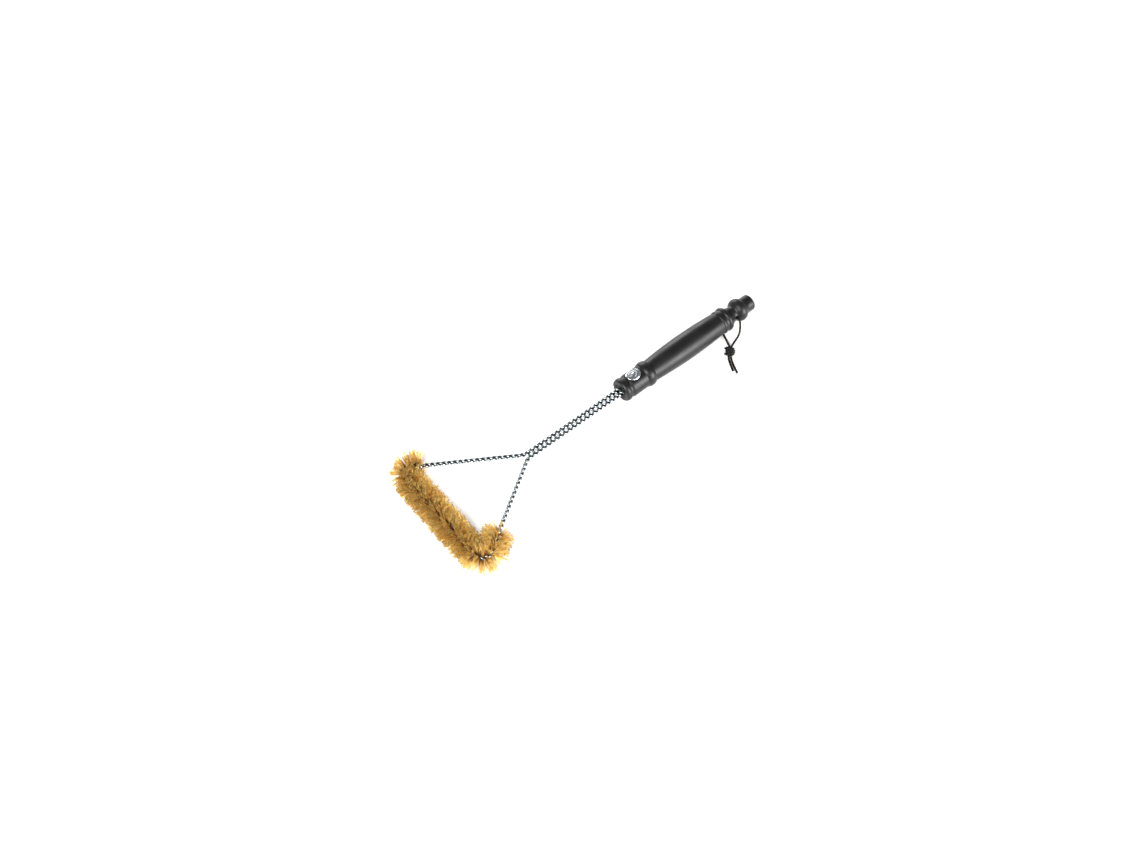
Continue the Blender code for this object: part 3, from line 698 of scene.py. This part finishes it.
class BRUSH_OT_handle(bpy.types.Operator):
    """Make the turned grip and its end cap."""
    bl_idname = "grill_brush.handle"
    bl_label = "Handle"
    bl_options = {"REGISTER", "UNDO"}

    def execute(self, context):
        settings = context.scene.brush_handle
        plastic = satin_plastic()
        groove_x = FRONT_X - 0.0080
        ring_front = FRONT_X - 0.0322
        ring_rear = ring_front - 0.0095
        barrel_front = ring_rear - 0.0008
        barrel_rear = GRIP_REAR_X + 0.0178
        bead_rear = barrel_rear - 0.0050
        groove_rear = bead_rear - 0.0024
        ring_end = groove_rear - REAR_RING_LENGTH
        outline = profile(
            (FRONT_X - 0.0012, 0.0075),
            (FRONT_X, 0.0092),
            (FRONT_X, 0.0126),
            (groove_x + 0.0018, 0.0134, 0.28),
            (groove_x + 0.0008, 0.0127),
            (groove_x - 0.0010, 0.0127),
            (FRONT_X - 0.0115, LAND_RADIUS),
            (FRONT_X - 0.0312, LAND_RADIUS - 0.0004),
            (ring_front, RING_FOOT_RADIUS),
            (ring_rear, RING_FOOT_RADIUS, 0.27),
            (barrel_front, 0.0128),
            ((barrel_front + barrel_rear) / 2, settings.barrel_radius, 0.019),
            (barrel_rear, WAIST_RADIUS, 0.018),
            (bead_rear, WAIST_RADIUS, 0.32),
            (groove_rear, WAIST_RADIUS),
            (ring_end, WAIST_RADIUS, 2 * (REAR_RING_RADIUS - WAIST_RADIUS) / REAR_RING_LENGTH),
            (ring_end - 0.0007, 0.0126),
            (GRIP_REAR_X, 0.0100, -0.15),
            (GRIP_REAR_X, GRIP_BORE_RADIUS),
            (FRONT_X - FRONT_WALL, GRIP_BORE_RADIUS),
            (FRONT_X - FRONT_WALL, 0.0),
            (FRONT_X - 0.0012, 0.0),
        )
        grip = finished("handle_grip_moulding",
                        turned(eased(outline, settings.edge), settings.segments), plastic)
        cut(grip, badge_shape(LAND_RADIUS - 0.0014, lambda portion, turn: 0.003, margin=GAP))
        cut(grip, stem_hole(context.scene.brush_wires))
        place_on(grip, "root", ["handle_grip"])

        spigot_front = GRIP_REAR_X + 0.0140
        shoulder_x = GRIP_REAR_X - GAP
        bead_front = shoulder_x - NECK_LENGTH
        bead_end = bead_front - CAP_BEAD_LENGTH
        # both halves of the neck are arcs that run level at the cord's hole
        front_bulge, rear_bulge = (
            -tan(atan2(radius - settings.neck_radius, NECK_LENGTH / 2) / 2)
            for radius in (SHOULDER_RADIUS, BEAD_FOOT_RADIUS))
        outline = profile(
            (spigot_front, 0.0),
            (spigot_front, SPIGOT_RADIUS - 0.0008),
            (spigot_front - 0.0008, SPIGOT_RADIUS),
            (shoulder_x, SPIGOT_RADIUS),
            (shoulder_x, SHOULDER_RADIUS),
            (CORD_HOLE_X, settings.neck_radius, front_bulge),
            (bead_front, BEAD_FOOT_RADIUS, rear_bulge),
            (bead_end, BEAD_FOOT_RADIUS,
             2 * (CAP_BEAD_RADIUS - BEAD_FOOT_RADIUS) / CAP_BEAD_LENGTH),
            (bead_end - 0.0020, 0.0102),
            (bead_end - 0.0036, CAP_END_RADIUS),
            (REAR_END_X + 0.0022, CAP_END_RADIUS),
            (REAR_END_X, 0.0076, 0.41),
            (REAR_END_X, 0.0),
        )
        cap = finished("handle_end_cap_moulding",
                       turned(eased(outline, settings.edge), settings.segments), plastic)
        cut(cap, cord_drill())
        place_on(cap, "root", ["handle_end_cap"])
        return {"FINISHED"}


def stem_hole(wires):
    """The slot in the handle's front that the two stems go through, flared at its mouth."""
    snug = wires.twist_radius + wires.diameter / 2 + 0.0002
    bm = bmesh.new()
    rings = []
    for x, radius in ((FRONT_X + 0.001, snug + 0.0016), (FRONT_X - 0.0012, snug + 0.0007),
                      (FRONT_X - 0.0022, snug), (FRONT_X - 0.012, snug)):
        ring = []
        for side in (1, -1):
            for k in range(17):
                turn = (k / 16 - 0.5) * pi + (0 if side > 0 else pi)
                ring.append(bm.verts.new((x, side * wires.stem_half_spacing + radius * cos(turn),
                                          AXIS_Z + radius * sin(turn))))
        rings.append(ring)
    sleeve(bm, rings)
    return bm


def cord_drill():
    """The cord's hole across the neck, flared where it opens."""
    bm = bmesh.new()
    half = ((0.016, 0.0045), (0.0090, 0.0021), (0.0078, CORD_HOLE_RADIUS))
    sleeve(bm, [[bm.verts.new((radius * cos(a), y, radius * sin(a)))
                 for a in (tau * k / 40 for k in range(40))]
                for y, radius in (*((-y, radius) for y, radius in half), *reversed(half))])
    place = Matrix.Translation((CORD_HOLE_X, 0, AXIS_Z)) @ Matrix.Rotation(CORD_HOLE_TILT, 4, "X")
    bmesh.ops.transform(bm, matrix=place, verts=bm.verts)
    return bm


def badge_shape(base_radius, height, hollow=None, margin=0.0, rings=30, segments=144):
    """An oval plate wrapped over the handle's top.

    Both height, the plate's thickness, and hollow, how deep it lies, are given by a function of the
    share of the way out and the turn.
    """
    length, width = BADGE_LENGTH + 2 * margin, BADGE_WIDTH + 2 * margin
    bm = bmesh.new()
    layer = bm.verts.layers.float.new("hollow")

    def point(top, portion, turn):
        """A point of the plate's top or underside."""
        radius = base_radius + (height(portion, turn) if top else 0)
        over = BADGE_TURN + portion * width / 2 * sin(turn) / LAND_RADIUS
        vert = bm.verts.new((BADGE_X + portion * length / 2 * cos(turn), radius * sin(over),
                             AXIS_Z + radius * cos(over)))
        vert[layer] = hollow(portion, turn) if top and hollow else 0.0
        return vert

    sides = []
    for top in (False, True):
        circles = [[point(top, k / rings, tau * i / segments) for i in range(segments)]
                   for k in range(1, rings + 1)]
        middle = point(top, 0, 0)
        for i in range(segments):
            bm.faces.new((middle, circles[0][i], circles[0][(i + 1) % segments]))
        for first, second in zip(circles, circles[1:]):
            bridge(bm, first, second)
        sides.append(circles[-1])
    bridge(bm, sides[0], sides[1])
    return bm


class BRUSH_OT_badge(bpy.types.Operator):
    """Make the plain fluted medallion on the handle."""
    bl_idname = "grill_brush.badge"
    bl_label = "Badge"
    bl_options = {"REGISTER", "UNDO"}

    def execute(self, context):
        settings = context.scene.brush_badge
        base = LAND_RADIUS - 0.0005

        def rise(portion, turn):
            """How far the casting stands above its field, as a share of its relief."""
            rim = max(0.0, 1 - ((portion - 0.92) / 0.07) ** 2) ** 0.5 if portion > 0.85 else 0.0
            ring = max(0.0, 1 - ((portion - 0.76) / 0.055) ** 2)
            bead = ring * (0.55 + 0.45 * cos(settings.beads * turn))
            window = max(0.0, 1 - ((portion - 0.47) / 0.2) ** 2)
            flute = window * (0.5 + 0.5 * cos(settings.flutes * turn))
            boss = max(0.0, 1 - (portion / 0.22) ** 2) ** 0.5
            return max(rim, 0.75 * bead, 0.7 * flute, boss)

        def height(portion, turn):
            """The casting's thickness: a low crown and its relief, with a soft outer edge."""
            crown = 0.0006 + 0.00025 * (1 - portion ** 2)
            return crown + settings.relief * (rise(portion, turn) if portion < 0.995 else 0.3)

        bm = badge_shape(base, height, lambda portion, turn: 1 - rise(portion, turn))
        badge = finished("badge_medallion", bm, cast_metal(), sharp=60)
        place_on(badge, "root", ["badge"])
        return {"FINISHED"}


def rounded_line(corners, radii, steps=24):
    """A line of straight runs and round bends, and its length at the start and end of each bend."""
    points, marks = [corners[0]], []
    length = 0.0
    for before, corner, after, radius in zip(corners, corners[1:], corners[2:], radii):
        to, away = (corner - before).normalized(), (after - corner).normalized()
        turn = atan2(to.cross(away).z, to.dot(away))
        reach = radius * tan(abs(turn) / 2)
        inward = Vector((-to.y, to.x, 0)) * (1 if turn > 0 else -1)
        start = corner - to * reach
        bend = [start + to * (radius * sin(a)) + inward * (radius * (1 - cos(a)))
                for a in (abs(turn) * k / steps for k in range(steps + 1))]
        length += (start - points[-1]).length
        marks.append(length)
        points.append(start)
        for place in bend[1:]:
            length += (place - points[-1]).length
            points.append(place)
        marks.append(length)
    points.append(corners[-1])
    return points, marks


def head_line(settings):
    """The head's centre line, from the +Y stem end round the head to the -Y stem end."""
    stem = settings.stem_half_spacing
    side = [Vector((STEM_END_X, stem, AXIS_Z)), Vector((FORK_X, stem, AXIS_Z)),
            Vector((BAR_X, HEAD_HALF_WIDTH, AXIS_Z))]
    corners = side + [Vector((p.x, -p.y, p.z)) for p in reversed(side)]
    return rounded_line(corners, (FORK_BEND_RADIUS, CORNER_BEND_RADIUS, CORNER_BEND_RADIUS,
                                  FORK_BEND_RADIUS))


def between(points, start, end):
    """The part of a line from one length along it to another."""
    table = np.array([tuple(p) for p in points])
    lengths = np.concatenate([[0], np.cumsum(np.linalg.norm(np.diff(table, axis=0), axis=1))])
    inside = lengths[(lengths > start + 1e-6) & (lengths < end - 1e-6)]
    wanted = np.concatenate([[start], inside, [end]])
    return np.stack([np.interp(wanted, lengths, table[:, k]) for k in range(3)], axis=1)


def poly_curve(name, points):
    """A curve of straight pieces through the points."""
    curve = bpy.data.curves.new(name, "CURVE")
    curve.dimensions = "3D"
    spline = curve.splines.new("POLY")
    spline.points.add(len(points) - 1)
    for slot, place in zip(spline.points, points):
        slot.co = (*place, 1.0)
    return curve


def new_tree(name, sockets):
    """A Geometry Nodes tree; each of its sockets is a label, a socket kind and a description."""
    tree = bpy.data.node_groups.new(name, "GeometryNodeTree")
    tree.is_modifier = True
    tree.interface.new_socket("Geometry", in_out="INPUT", socket_type="NodeSocketGeometry")
    tree.interface.new_socket("Geometry", in_out="OUTPUT", socket_type="NodeSocketGeometry")
    for label, kind, note in sockets:
        tree.interface.new_socket(label, in_out="INPUT", socket_type="NodeSocket" + kind,
                                  description=note)
    given = tree.nodes.new("NodeGroupInput")
    return tree, {socket.name: socket for socket in given.outputs if socket.name}


def close_tree(tree, geometry, finish):
    """End a tree: real geometry, smooth faces and the finish."""
    real = add(tree, "GeometryNodeRealizeInstances", {0: geometry})
    smooth = add(tree, "GeometryNodeSetShadeSmooth", {0: real.outputs[0]})
    coated = add(tree, "GeometryNodeSetMaterial", {0: smooth.outputs[0], "Material": finish})
    add(tree, "NodeGroupOutput", {0: coated.outputs[0]})


def grown(name, curve, tree, values):
    """Run a tree on a curve and keep what it makes as a plain mesh object."""
    source = add_object(name + "_source", curve)
    modifier = source.modifiers.new(tree.name, "NODES")
    modifier.node_group = tree
    keys = {item.name: item.identifier for item in tree.interface.items_tree
            if item.in_out == "INPUT"}
    for label, value in values.items():
        modifier[keys[label]] = value
    mesh = evaluated_mesh(source)
    bpy.data.objects.remove(source)
    mesh.name = name
    if not mesh.polygons:
        raise RuntimeError(f"{name} came out empty")
    return add_object(name, mesh)


def turned_about(tree, tangent, turn):
    """The direction square to a flat line at an angle from its level side."""
    across = add(tree, "ShaderNodeVectorMath", ((0.0, 0.0, 1.0), tangent),
                 operation="CROSS_PRODUCT").outputs[0]
    cosine = add(tree, "ShaderNodeMath", (turn,), operation="COSINE").outputs[0]
    sine = add(tree, "ShaderNodeMath", (turn,), operation="SINE").outputs[0]
    level = add(tree, "ShaderNodeVectorMath", {0: across, "Scale": cosine},
                operation="SCALE").outputs[0]
    upright = add(tree, "ShaderNodeCombineXYZ", {"Z": sine}).outputs[0]
    return add(tree, "ShaderNodeVectorMath", (level, upright), operation="ADD").outputs[0]


def wire_tree():
    """One wire of a twisted pair, wound round a flat curve."""
    tree, given = new_tree("Twisted wire", (
        ("Lead", "Float", "Length of one full turn"),
        ("Twist radius", "Float", "From the curve to the wire's centre"),
        ("Wire radius", "Float", "Half the wire's diameter"),
        ("Start angle", "Float", "Angle at the curve's start"),
        ("Step", "Float", "Length between sections"),
        ("Sides", "Int", "Faces round the wire"),
        ("Finish", "Material", "Material of the wire")))
    line = add(tree, "GeometryNodeResampleCurve", {"Curve": given["Geometry"],
                                                   "Length": given["Step"]}, mode="LENGTH")
    length = add(tree, "GeometryNodeSplineParameter").outputs["Length"]
    tangent = add(tree, "GeometryNodeInputTangent").outputs[0]
    position = add(tree, "GeometryNodeInputPosition").outputs[0]
    turns = add(tree, "ShaderNodeMath", (length, given["Lead"]), operation="DIVIDE").outputs[0]
    turn = add(tree, "ShaderNodeMath", (turns, tau, given["Start angle"]),
               operation="MULTIPLY_ADD").outputs[0]
    offset = add(tree, "ShaderNodeVectorMath", {0: turned_about(tree, tangent, turn),
                                                "Scale": given["Twist radius"]},
                 operation="SCALE").outputs[0]
    kept = add(tree, "GeometryNodeCaptureAttribute", {0: line.outputs[0]})
    kept.capture_items.new("VECTOR", "axis")
    tree.links.new(position, kept.inputs[1])
    wound = add(tree, "GeometryNodeSetPosition", {"Geometry": kept.outputs[0], "Offset": offset})
    ring = add(tree, "GeometryNodeCurvePrimitiveCircle", {"Resolution": given["Sides"],
                                                          "Radius": given["Wire radius"]})
    body = add(tree, "GeometryNodeCurveToMesh", {"Curve": wound.outputs[0],
                                                 "Profile Curve": ring.outputs[0],
                                                 "Fill Caps": True})
    # painted shade: the finish is darker where a face lies near the twist's centre line, where the
    # two wires shade each other
    apart = add(tree, "ShaderNodeVectorMath", (position, kept.outputs[1]),
                operation="SUBTRACT").outputs[0]
    out = add(tree, "ShaderNodeVectorMath", (apart,), operation="LENGTH").outputs["Value"]
    whole = add(tree, "ShaderNodeMath", (given["Twist radius"], given["Wire radius"]),
                operation="ADD").outputs[0]
    marked = add(tree, "GeometryNodeStoreNamedAttribute", {
        "Geometry": body.outputs[0], "Name": "from_axis",
        "Value": add(tree, "ShaderNodeMath", (out, whole), operation="DIVIDE").outputs[0]},
        data_type="FLOAT", domain="POINT")
    close_tree(tree, marked.outputs[0], given["Finish"])
    return tree


def bristle_tree():
    """Bristles held between two twisted wires: each passes through and shows on both sides."""
    tree, given = new_tree("Twisted-in bristles", (
        ("Lead", "Float", "Length of one full turn of the twist"),
        ("Start angle", "Float", "Angle of the bristles at the curve's start"),
        ("Reach", "Float", "From the curve to the tips"),
        ("Thickness", "Float", "Diameter of a bristle"),
        ("Per metre", "Float", "Bristles along a metre of the curve"),
        ("Spread", "Float", "How far a bristle turns away from the twist's direction"),
        ("Lean", "Float", "How far a bristle leans along the wire"),
        ("Bend", "Float", "How far a tip strays from a straight line"),
        ("Uneven", "Float", "Variation of the bristles' length"),
        ("Tuft", "Float", "Bristles that lie together"),
        ("Seed", "Int", "Fixes the random variation"),
        ("Finish", "Material", "Material of the bristles")))
    spacing = add(tree, "ShaderNodeMath", (1.0, given["Per metre"]), operation="DIVIDE")
    line = add(tree, "GeometryNodeResampleCurve", {"Curve": given["Geometry"],
                                                   "Length": spacing.outputs[0]}, mode="LENGTH")
    length = add(tree, "GeometryNodeSplineParameter").outputs["Length"]
    tangent = add(tree, "GeometryNodeInputTangent").outputs[0]
    turns = add(tree, "ShaderNodeMath", (length, given["Lead"]), operation="DIVIDE").outputs[0]
    turn = add(tree, "ShaderNodeMath", (turns, tau, given["Start angle"]),
               operation="MULTIPLY_ADD").outputs[0]
    single = add(tree, "GeometryNodeInputIndex").outputs[0]
    share = add(tree, "ShaderNodeMath", (single, given["Tuft"]), operation="DIVIDE").outputs[0]
    tuft = add(tree, "ShaderNodeMath", (share,), operation="FLOOR").outputs[0]

    def drawn(shift, kind, limits, output):
        """A random value for each bristle and one for each tuft; shift keeps the draws apart."""
        made = []
        for group, step in ((single, shift), (tuft, shift + 10)):
            seed = add(tree, "ShaderNodeMath", (given["Seed"], step), operation="ADD").outputs[0]
            made.append(add(tree, "FunctionNodeRandomValue", {**limits, "ID": group, "Seed": seed},
                            data_type=kind).outputs[output])
        return made

    def draw(low, high, shift, looseness):
        """A random number that the bristles of a tuft mostly share."""
        own, shared = drawn(shift, "FLOAT", {2: low, 3: high}, 1)
        return add(tree, "ShaderNodeMath", (own, looseness, shared),
                   operation="MULTIPLY_ADD").outputs[0]

    def curl(shift):
        """A random direction and length that the bristles of a tuft mostly share."""
        own, shared = drawn(shift, "FLOAT_VECTOR", {0: (-1.0, -1.0, -1.0), 1: (1.0, 1.0, 1.0)}, 0)
        loose = add(tree, "ShaderNodeVectorMath", {0: own, "Scale": 0.35},
                    operation="SCALE").outputs[0]
        return add(tree, "ShaderNodeVectorMath", (loose, shared), operation="ADD").outputs[0]

    turn = add(tree, "ShaderNodeMath", (draw(-1.0, 1.0, 1, 0.15), given["Spread"], turn),
               operation="MULTIPLY_ADD").outputs[0]
    lean = add(tree, "ShaderNodeMath", (draw(-1.0, 1.0, 2, 0.3), given["Lean"]),
               operation="MULTIPLY").outputs[0]
    leaning = add(tree, "ShaderNodeVectorMath", {0: tangent, "Scale": lean},
                  operation="SCALE").outputs[0]
    straight = add(tree, "ShaderNodeVectorMath", (turned_about(tree, tangent, turn), leaning),
                   operation="ADD").outputs[0]

    kept = add(tree, "GeometryNodeCaptureAttribute", {0: line.outputs[0]})
    fields = {"root": ("VECTOR", add(tree, "GeometryNodeInputPosition").outputs[0]),
              "way": ("VECTOR", straight),
              "first_bend": ("VECTOR", curl(3)),
              "second_bend": ("VECTOR", curl(4)),
              "first_reach": ("FLOAT", draw(-0.5, 0.3, 5, 1.0)),
              "second_reach": ("FLOAT", draw(-0.5, 0.3, 6, 1.0)),
              "tone": ("FLOAT", draw(0.0, 0.7, 7, 0.45))}
    for key, (kind, _) in fields.items():
        kept.capture_items.new(kind, key)
    for i, (_, source) in enumerate(fields.values()):
        tree.links.new(source, kept.inputs[i + 1])
    held = {key: kept.outputs[i + 1] for i, key in enumerate(fields)}

    # a straight needle on every point, which is then laid out from its root to both its tips
    needle = add(tree, "GeometryNodeCurvePrimitiveLine", {"Start": (-1.0, 0.0, 0.0),
                                                          "End": (1.0, 0.0, 0.0)})
    needle = add(tree, "GeometryNodeResampleCurve", {"Curve": needle.outputs[0], "Count": 7},
                 mode="COUNT")
    many = add(tree, "GeometryNodeInstanceOnPoints", {"Points": kept.outputs[0],
                                                      "Instance": needle.outputs[0]})
    real = add(tree, "GeometryNodeRealizeInstances", {0: many.outputs[0]})
    factor = add(tree, "GeometryNodeSplineParameter").outputs["Factor"]
    along = add(tree, "ShaderNodeMath", (factor, 2.0, -1.0), operation="MULTIPLY_ADD").outputs[0]
    second_half = add(tree, "ShaderNodeMath", (along, 0.0), operation="GREATER_THAN").outputs[0]
    bend = add(tree, "ShaderNodeMix", {0: second_half, 4: held["first_bend"],
                                       5: held["second_bend"]}, data_type="VECTOR").outputs[1]
    uneven = add(tree, "ShaderNodeMix", {0: second_half, 2: held["first_reach"],
                                         3: held["second_reach"]}, data_type="FLOAT").outputs[0]
    stretch = add(tree, "ShaderNodeMath", (uneven, given["Uneven"], 1.0),
                  operation="MULTIPLY_ADD").outputs[0]
    whole = add(tree, "ShaderNodeMath", (stretch, given["Reach"]),
                operation="MULTIPLY").outputs[0]
    reach = add(tree, "ShaderNodeMath", (whole, along), operation="MULTIPLY").outputs[0]
    squared = add(tree, "ShaderNodeMath", (along, along), operation="MULTIPLY").outputs[0]
    stray = add(tree, "ShaderNodeMath", (squared, given["Bend"]),
                operation="MULTIPLY").outputs[0]
    steps = [add(tree, "ShaderNodeVectorMath", {0: direction, "Scale": distance},
                 operation="SCALE").outputs[0]
             for direction, distance in ((held["way"], reach), (bend, stray))]
    from_line = add(tree, "ShaderNodeVectorMath", steps, operation="ADD").outputs[0]
    place = add(tree, "ShaderNodeVectorMath", (held["root"], from_line),
                operation="ADD").outputs[0]

    # no bristle goes through the table
    parts = add(tree, "ShaderNodeSeparateXYZ", {0: place})
    floor = add(tree, "ShaderNodeMath", (given["Thickness"], 0.6), operation="MULTIPLY")
    height = add(tree, "ShaderNodeMath", (parts.outputs[2], floor.outputs[0]),
                 operation="MAXIMUM")
    place = add(tree, "ShaderNodeCombineXYZ", (parts.outputs[0], parts.outputs[1],
                                               height.outputs[0])).outputs[0]
    shaped = add(tree, "GeometryNodeSetPosition", {"Geometry": real.outputs[0],
                                                   "Position": place}).outputs[0]
    from_root = add(tree, "ShaderNodeMath", (along,), operation="ABSOLUTE").outputs[0]
    for name, value in (("strand_tone", held["tone"]), ("root_to_tip", from_root)):
        shaped = add(tree, "GeometryNodeStoreNamedAttribute", {
            "Geometry": shaped, "Name": name, "Value": value},
            data_type="FLOAT", domain="POINT").outputs[0]
    radius = add(tree, "ShaderNodeMath", (given["Thickness"], 0.5), operation="MULTIPLY")
    ring = add(tree, "GeometryNodeCurvePrimitiveCircle", {"Resolution": 3,
                                                          "Radius": radius.outputs[0]})
    body = add(tree, "GeometryNodeCurveToMesh", {"Curve": shaped,
                                                 "Profile Curve": ring.outputs[0],
                                                 "Fill Caps": True})
    close_tree(tree, body.outputs[0], given["Finish"])
    return tree


class BRUSH_OT_core_wires(bpy.types.Operator):
    """Make the two galvanised wires that are twisted together into the stems and the head."""
    bl_idname = "grill_brush.core_wires"
    bl_label = "Twisted wires"
    bl_options = {"REGISTER", "UNDO"}

    def execute(self, context):
        settings = context.scene.brush_wires
        tree, finish = wire_tree(), galvanised_wire()
        points, _ = head_line(settings)
        for letter, start in (("a", 0.0), ("b", pi)):
            wire = grown("twisted_wire_" + letter, poly_curve("head_line", points), tree, {
                "Lead": settings.lead, "Twist radius": settings.twist_radius,
                "Wire radius": settings.diameter / 2, "Start angle": start,
                "Step": settings.spacing, "Sides": settings.sides, "Finish": finish})
            place_on(wire, "root", ["core_wire_" + letter])
        return {"FINISHED"}


class BRUSH_OT_bristles(bpy.types.Operator):
    """Make the brass bristles of the arms, the corners and the front bar."""
    bl_idname = "grill_brush.bristles"
    bl_label = "Bristles"
    bl_options = {"REGISTER", "UNDO"}

    def execute(self, context):
        settings, wires = context.scene.brush_bristles, context.scene.brush_wires
        tree, finish = bristle_tree(), brass_wire()
        points, marks = head_line(wires)
        near_start, near_end, far_start, far_end = marks[2:6]
        corner = Vector((BAR_X, HEAD_HALF_WIDTH, AXIS_Z))
        bend_reach = (corner - Vector(between(points, near_start, near_end)[0])).length
        third = (far_start - near_end) / 3
        # each stretch's name, start, end and how thickly it is set
        stretches = [
            ("near_arm", near_start - settings.near_reach + bend_reach, near_start, 0.55),
            ("near_corner", near_start, near_end, 0.5),
            ("front_3", near_end, near_end + third, 1.0),
            ("front_2", near_end + third, near_end + 2 * third, 1.0),
            ("front_1", near_end + 2 * third, far_start, 1.0),
            ("far_corner", far_start, far_end, 0.75),
            ("far_arm", far_end, far_end + settings.far_reach - bend_reach, 0.5),
        ]
        for k, (name, start, end, density) in enumerate(stretches):
            brush = grown("brass_" + name, poly_curve(name, between(points, start, end)), tree, {
                "Lead": wires.lead, "Start angle": tau * start / wires.lead + pi / 2,
                "Reach": settings.radius, "Thickness": settings.thickness,
                "Per metre": settings.per_metre * density, "Spread": settings.spread,
                "Lean": settings.lean, "Bend": settings.bend, "Uneven": settings.uneven,
                "Tuft": float(settings.tuft),
                "Seed": settings.seed + 20 * k, "Finish": finish})
            place_on(brush, "root", ["bristles_" + name])
        return {"FINISHED"}


class BRUSH_OT_inner_hardware(bpy.types.Operator):
    """Finish the pieces that hold the stems and the badge, hidden inside the handle."""
    bl_idname = "grill_brush.inner_hardware"
    bl_label = "Inner hardware"
    bl_options = {"REGISTER", "UNDO"}

    def execute(self, context):
        # natural nylon is milky, zinc plate is bright and mottled, foam is matt and open
        nylon = hidden_finish("Natural nylon", "#d8d4c6", "#c3bda9", 0.002, 0.5, 0.0, 0.00002)
        plate = hidden_finish("Zinc-plated steel", "#c2c6ca", "#8f9499", 0.0012, 0.32, 1.0,
                              0.00002)
        foam = hidden_finish("Polyethylene foam", "#dedcd4", "#b9b6ab", 0.0005, 0.8, 0.0, 0.0001)
        for node, finish, slot in (("stem_clamp_upper", nylon, "clamp_nylon"),
                                   ("stem_clamp_lower", nylon, "clamp_nylon"),
                                   ("stem_ferrule", plate, "plated_steel"),
                                   ("badge_adhesive_pad", foam, "adhesive_foam")):
            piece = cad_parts[node]
            piece.material_slots[0].material = finish
        return {"FINISHED"}


class BRUSH_PT_panel(bpy.types.Panel):
    """The brush maker's panel."""
    bl_idname = "BRUSH_PT_panel"
    bl_label = "Grill Brush"
    bl_space_type = "VIEW_3D"
    bl_region_type = "UI"
    bl_category = "Grill Brush"

    def draw(self, context):
        for operator in OPERATORS:
            self.layout.operator(operator.bl_idname)
        for key, group in SETTINGS.items():
            box = self.layout.box()
            box.label(text=group.__name__.replace("Settings", ""))
            for name in group.__annotations__:
                box.prop(getattr(context.scene, key), name)


OPERATORS = (BRUSH_OT_studio, BRUSH_OT_hang_cord, BRUSH_OT_handle, BRUSH_OT_badge,
             BRUSH_OT_core_wires, BRUSH_OT_bristles, BRUSH_OT_inner_hardware)
SETTINGS = {"brush_studio": StudioSettings, "brush_handle": HandleSettings,
            "brush_badge": BadgeSettings, "brush_wires": WireSettings,
            "brush_bristles": BristleSettings, "brush_cord": CordSettings}


def register():
    for made in (*SETTINGS.values(), *OPERATORS, BRUSH_PT_panel):
        bpy.utils.register_class(made)
    for key, group in SETTINGS.items():
        setattr(bpy.types.Scene, key, bpy.props.PointerProperty(type=group))


def unregister():
    for key in SETTINGS:
        delattr(bpy.types.Scene, key)
    for made in (BRUSH_PT_panel, *reversed(OPERATORS), *reversed(SETTINGS.values())):
        bpy.utils.unregister_class(made)


def main():
    register()
    for operator in OPERATORS:
        module, name = operator.bl_idname.split(".")
        getattr(getattr(bpy.ops, module), name)()


if __name__ == "__main__":
    main()
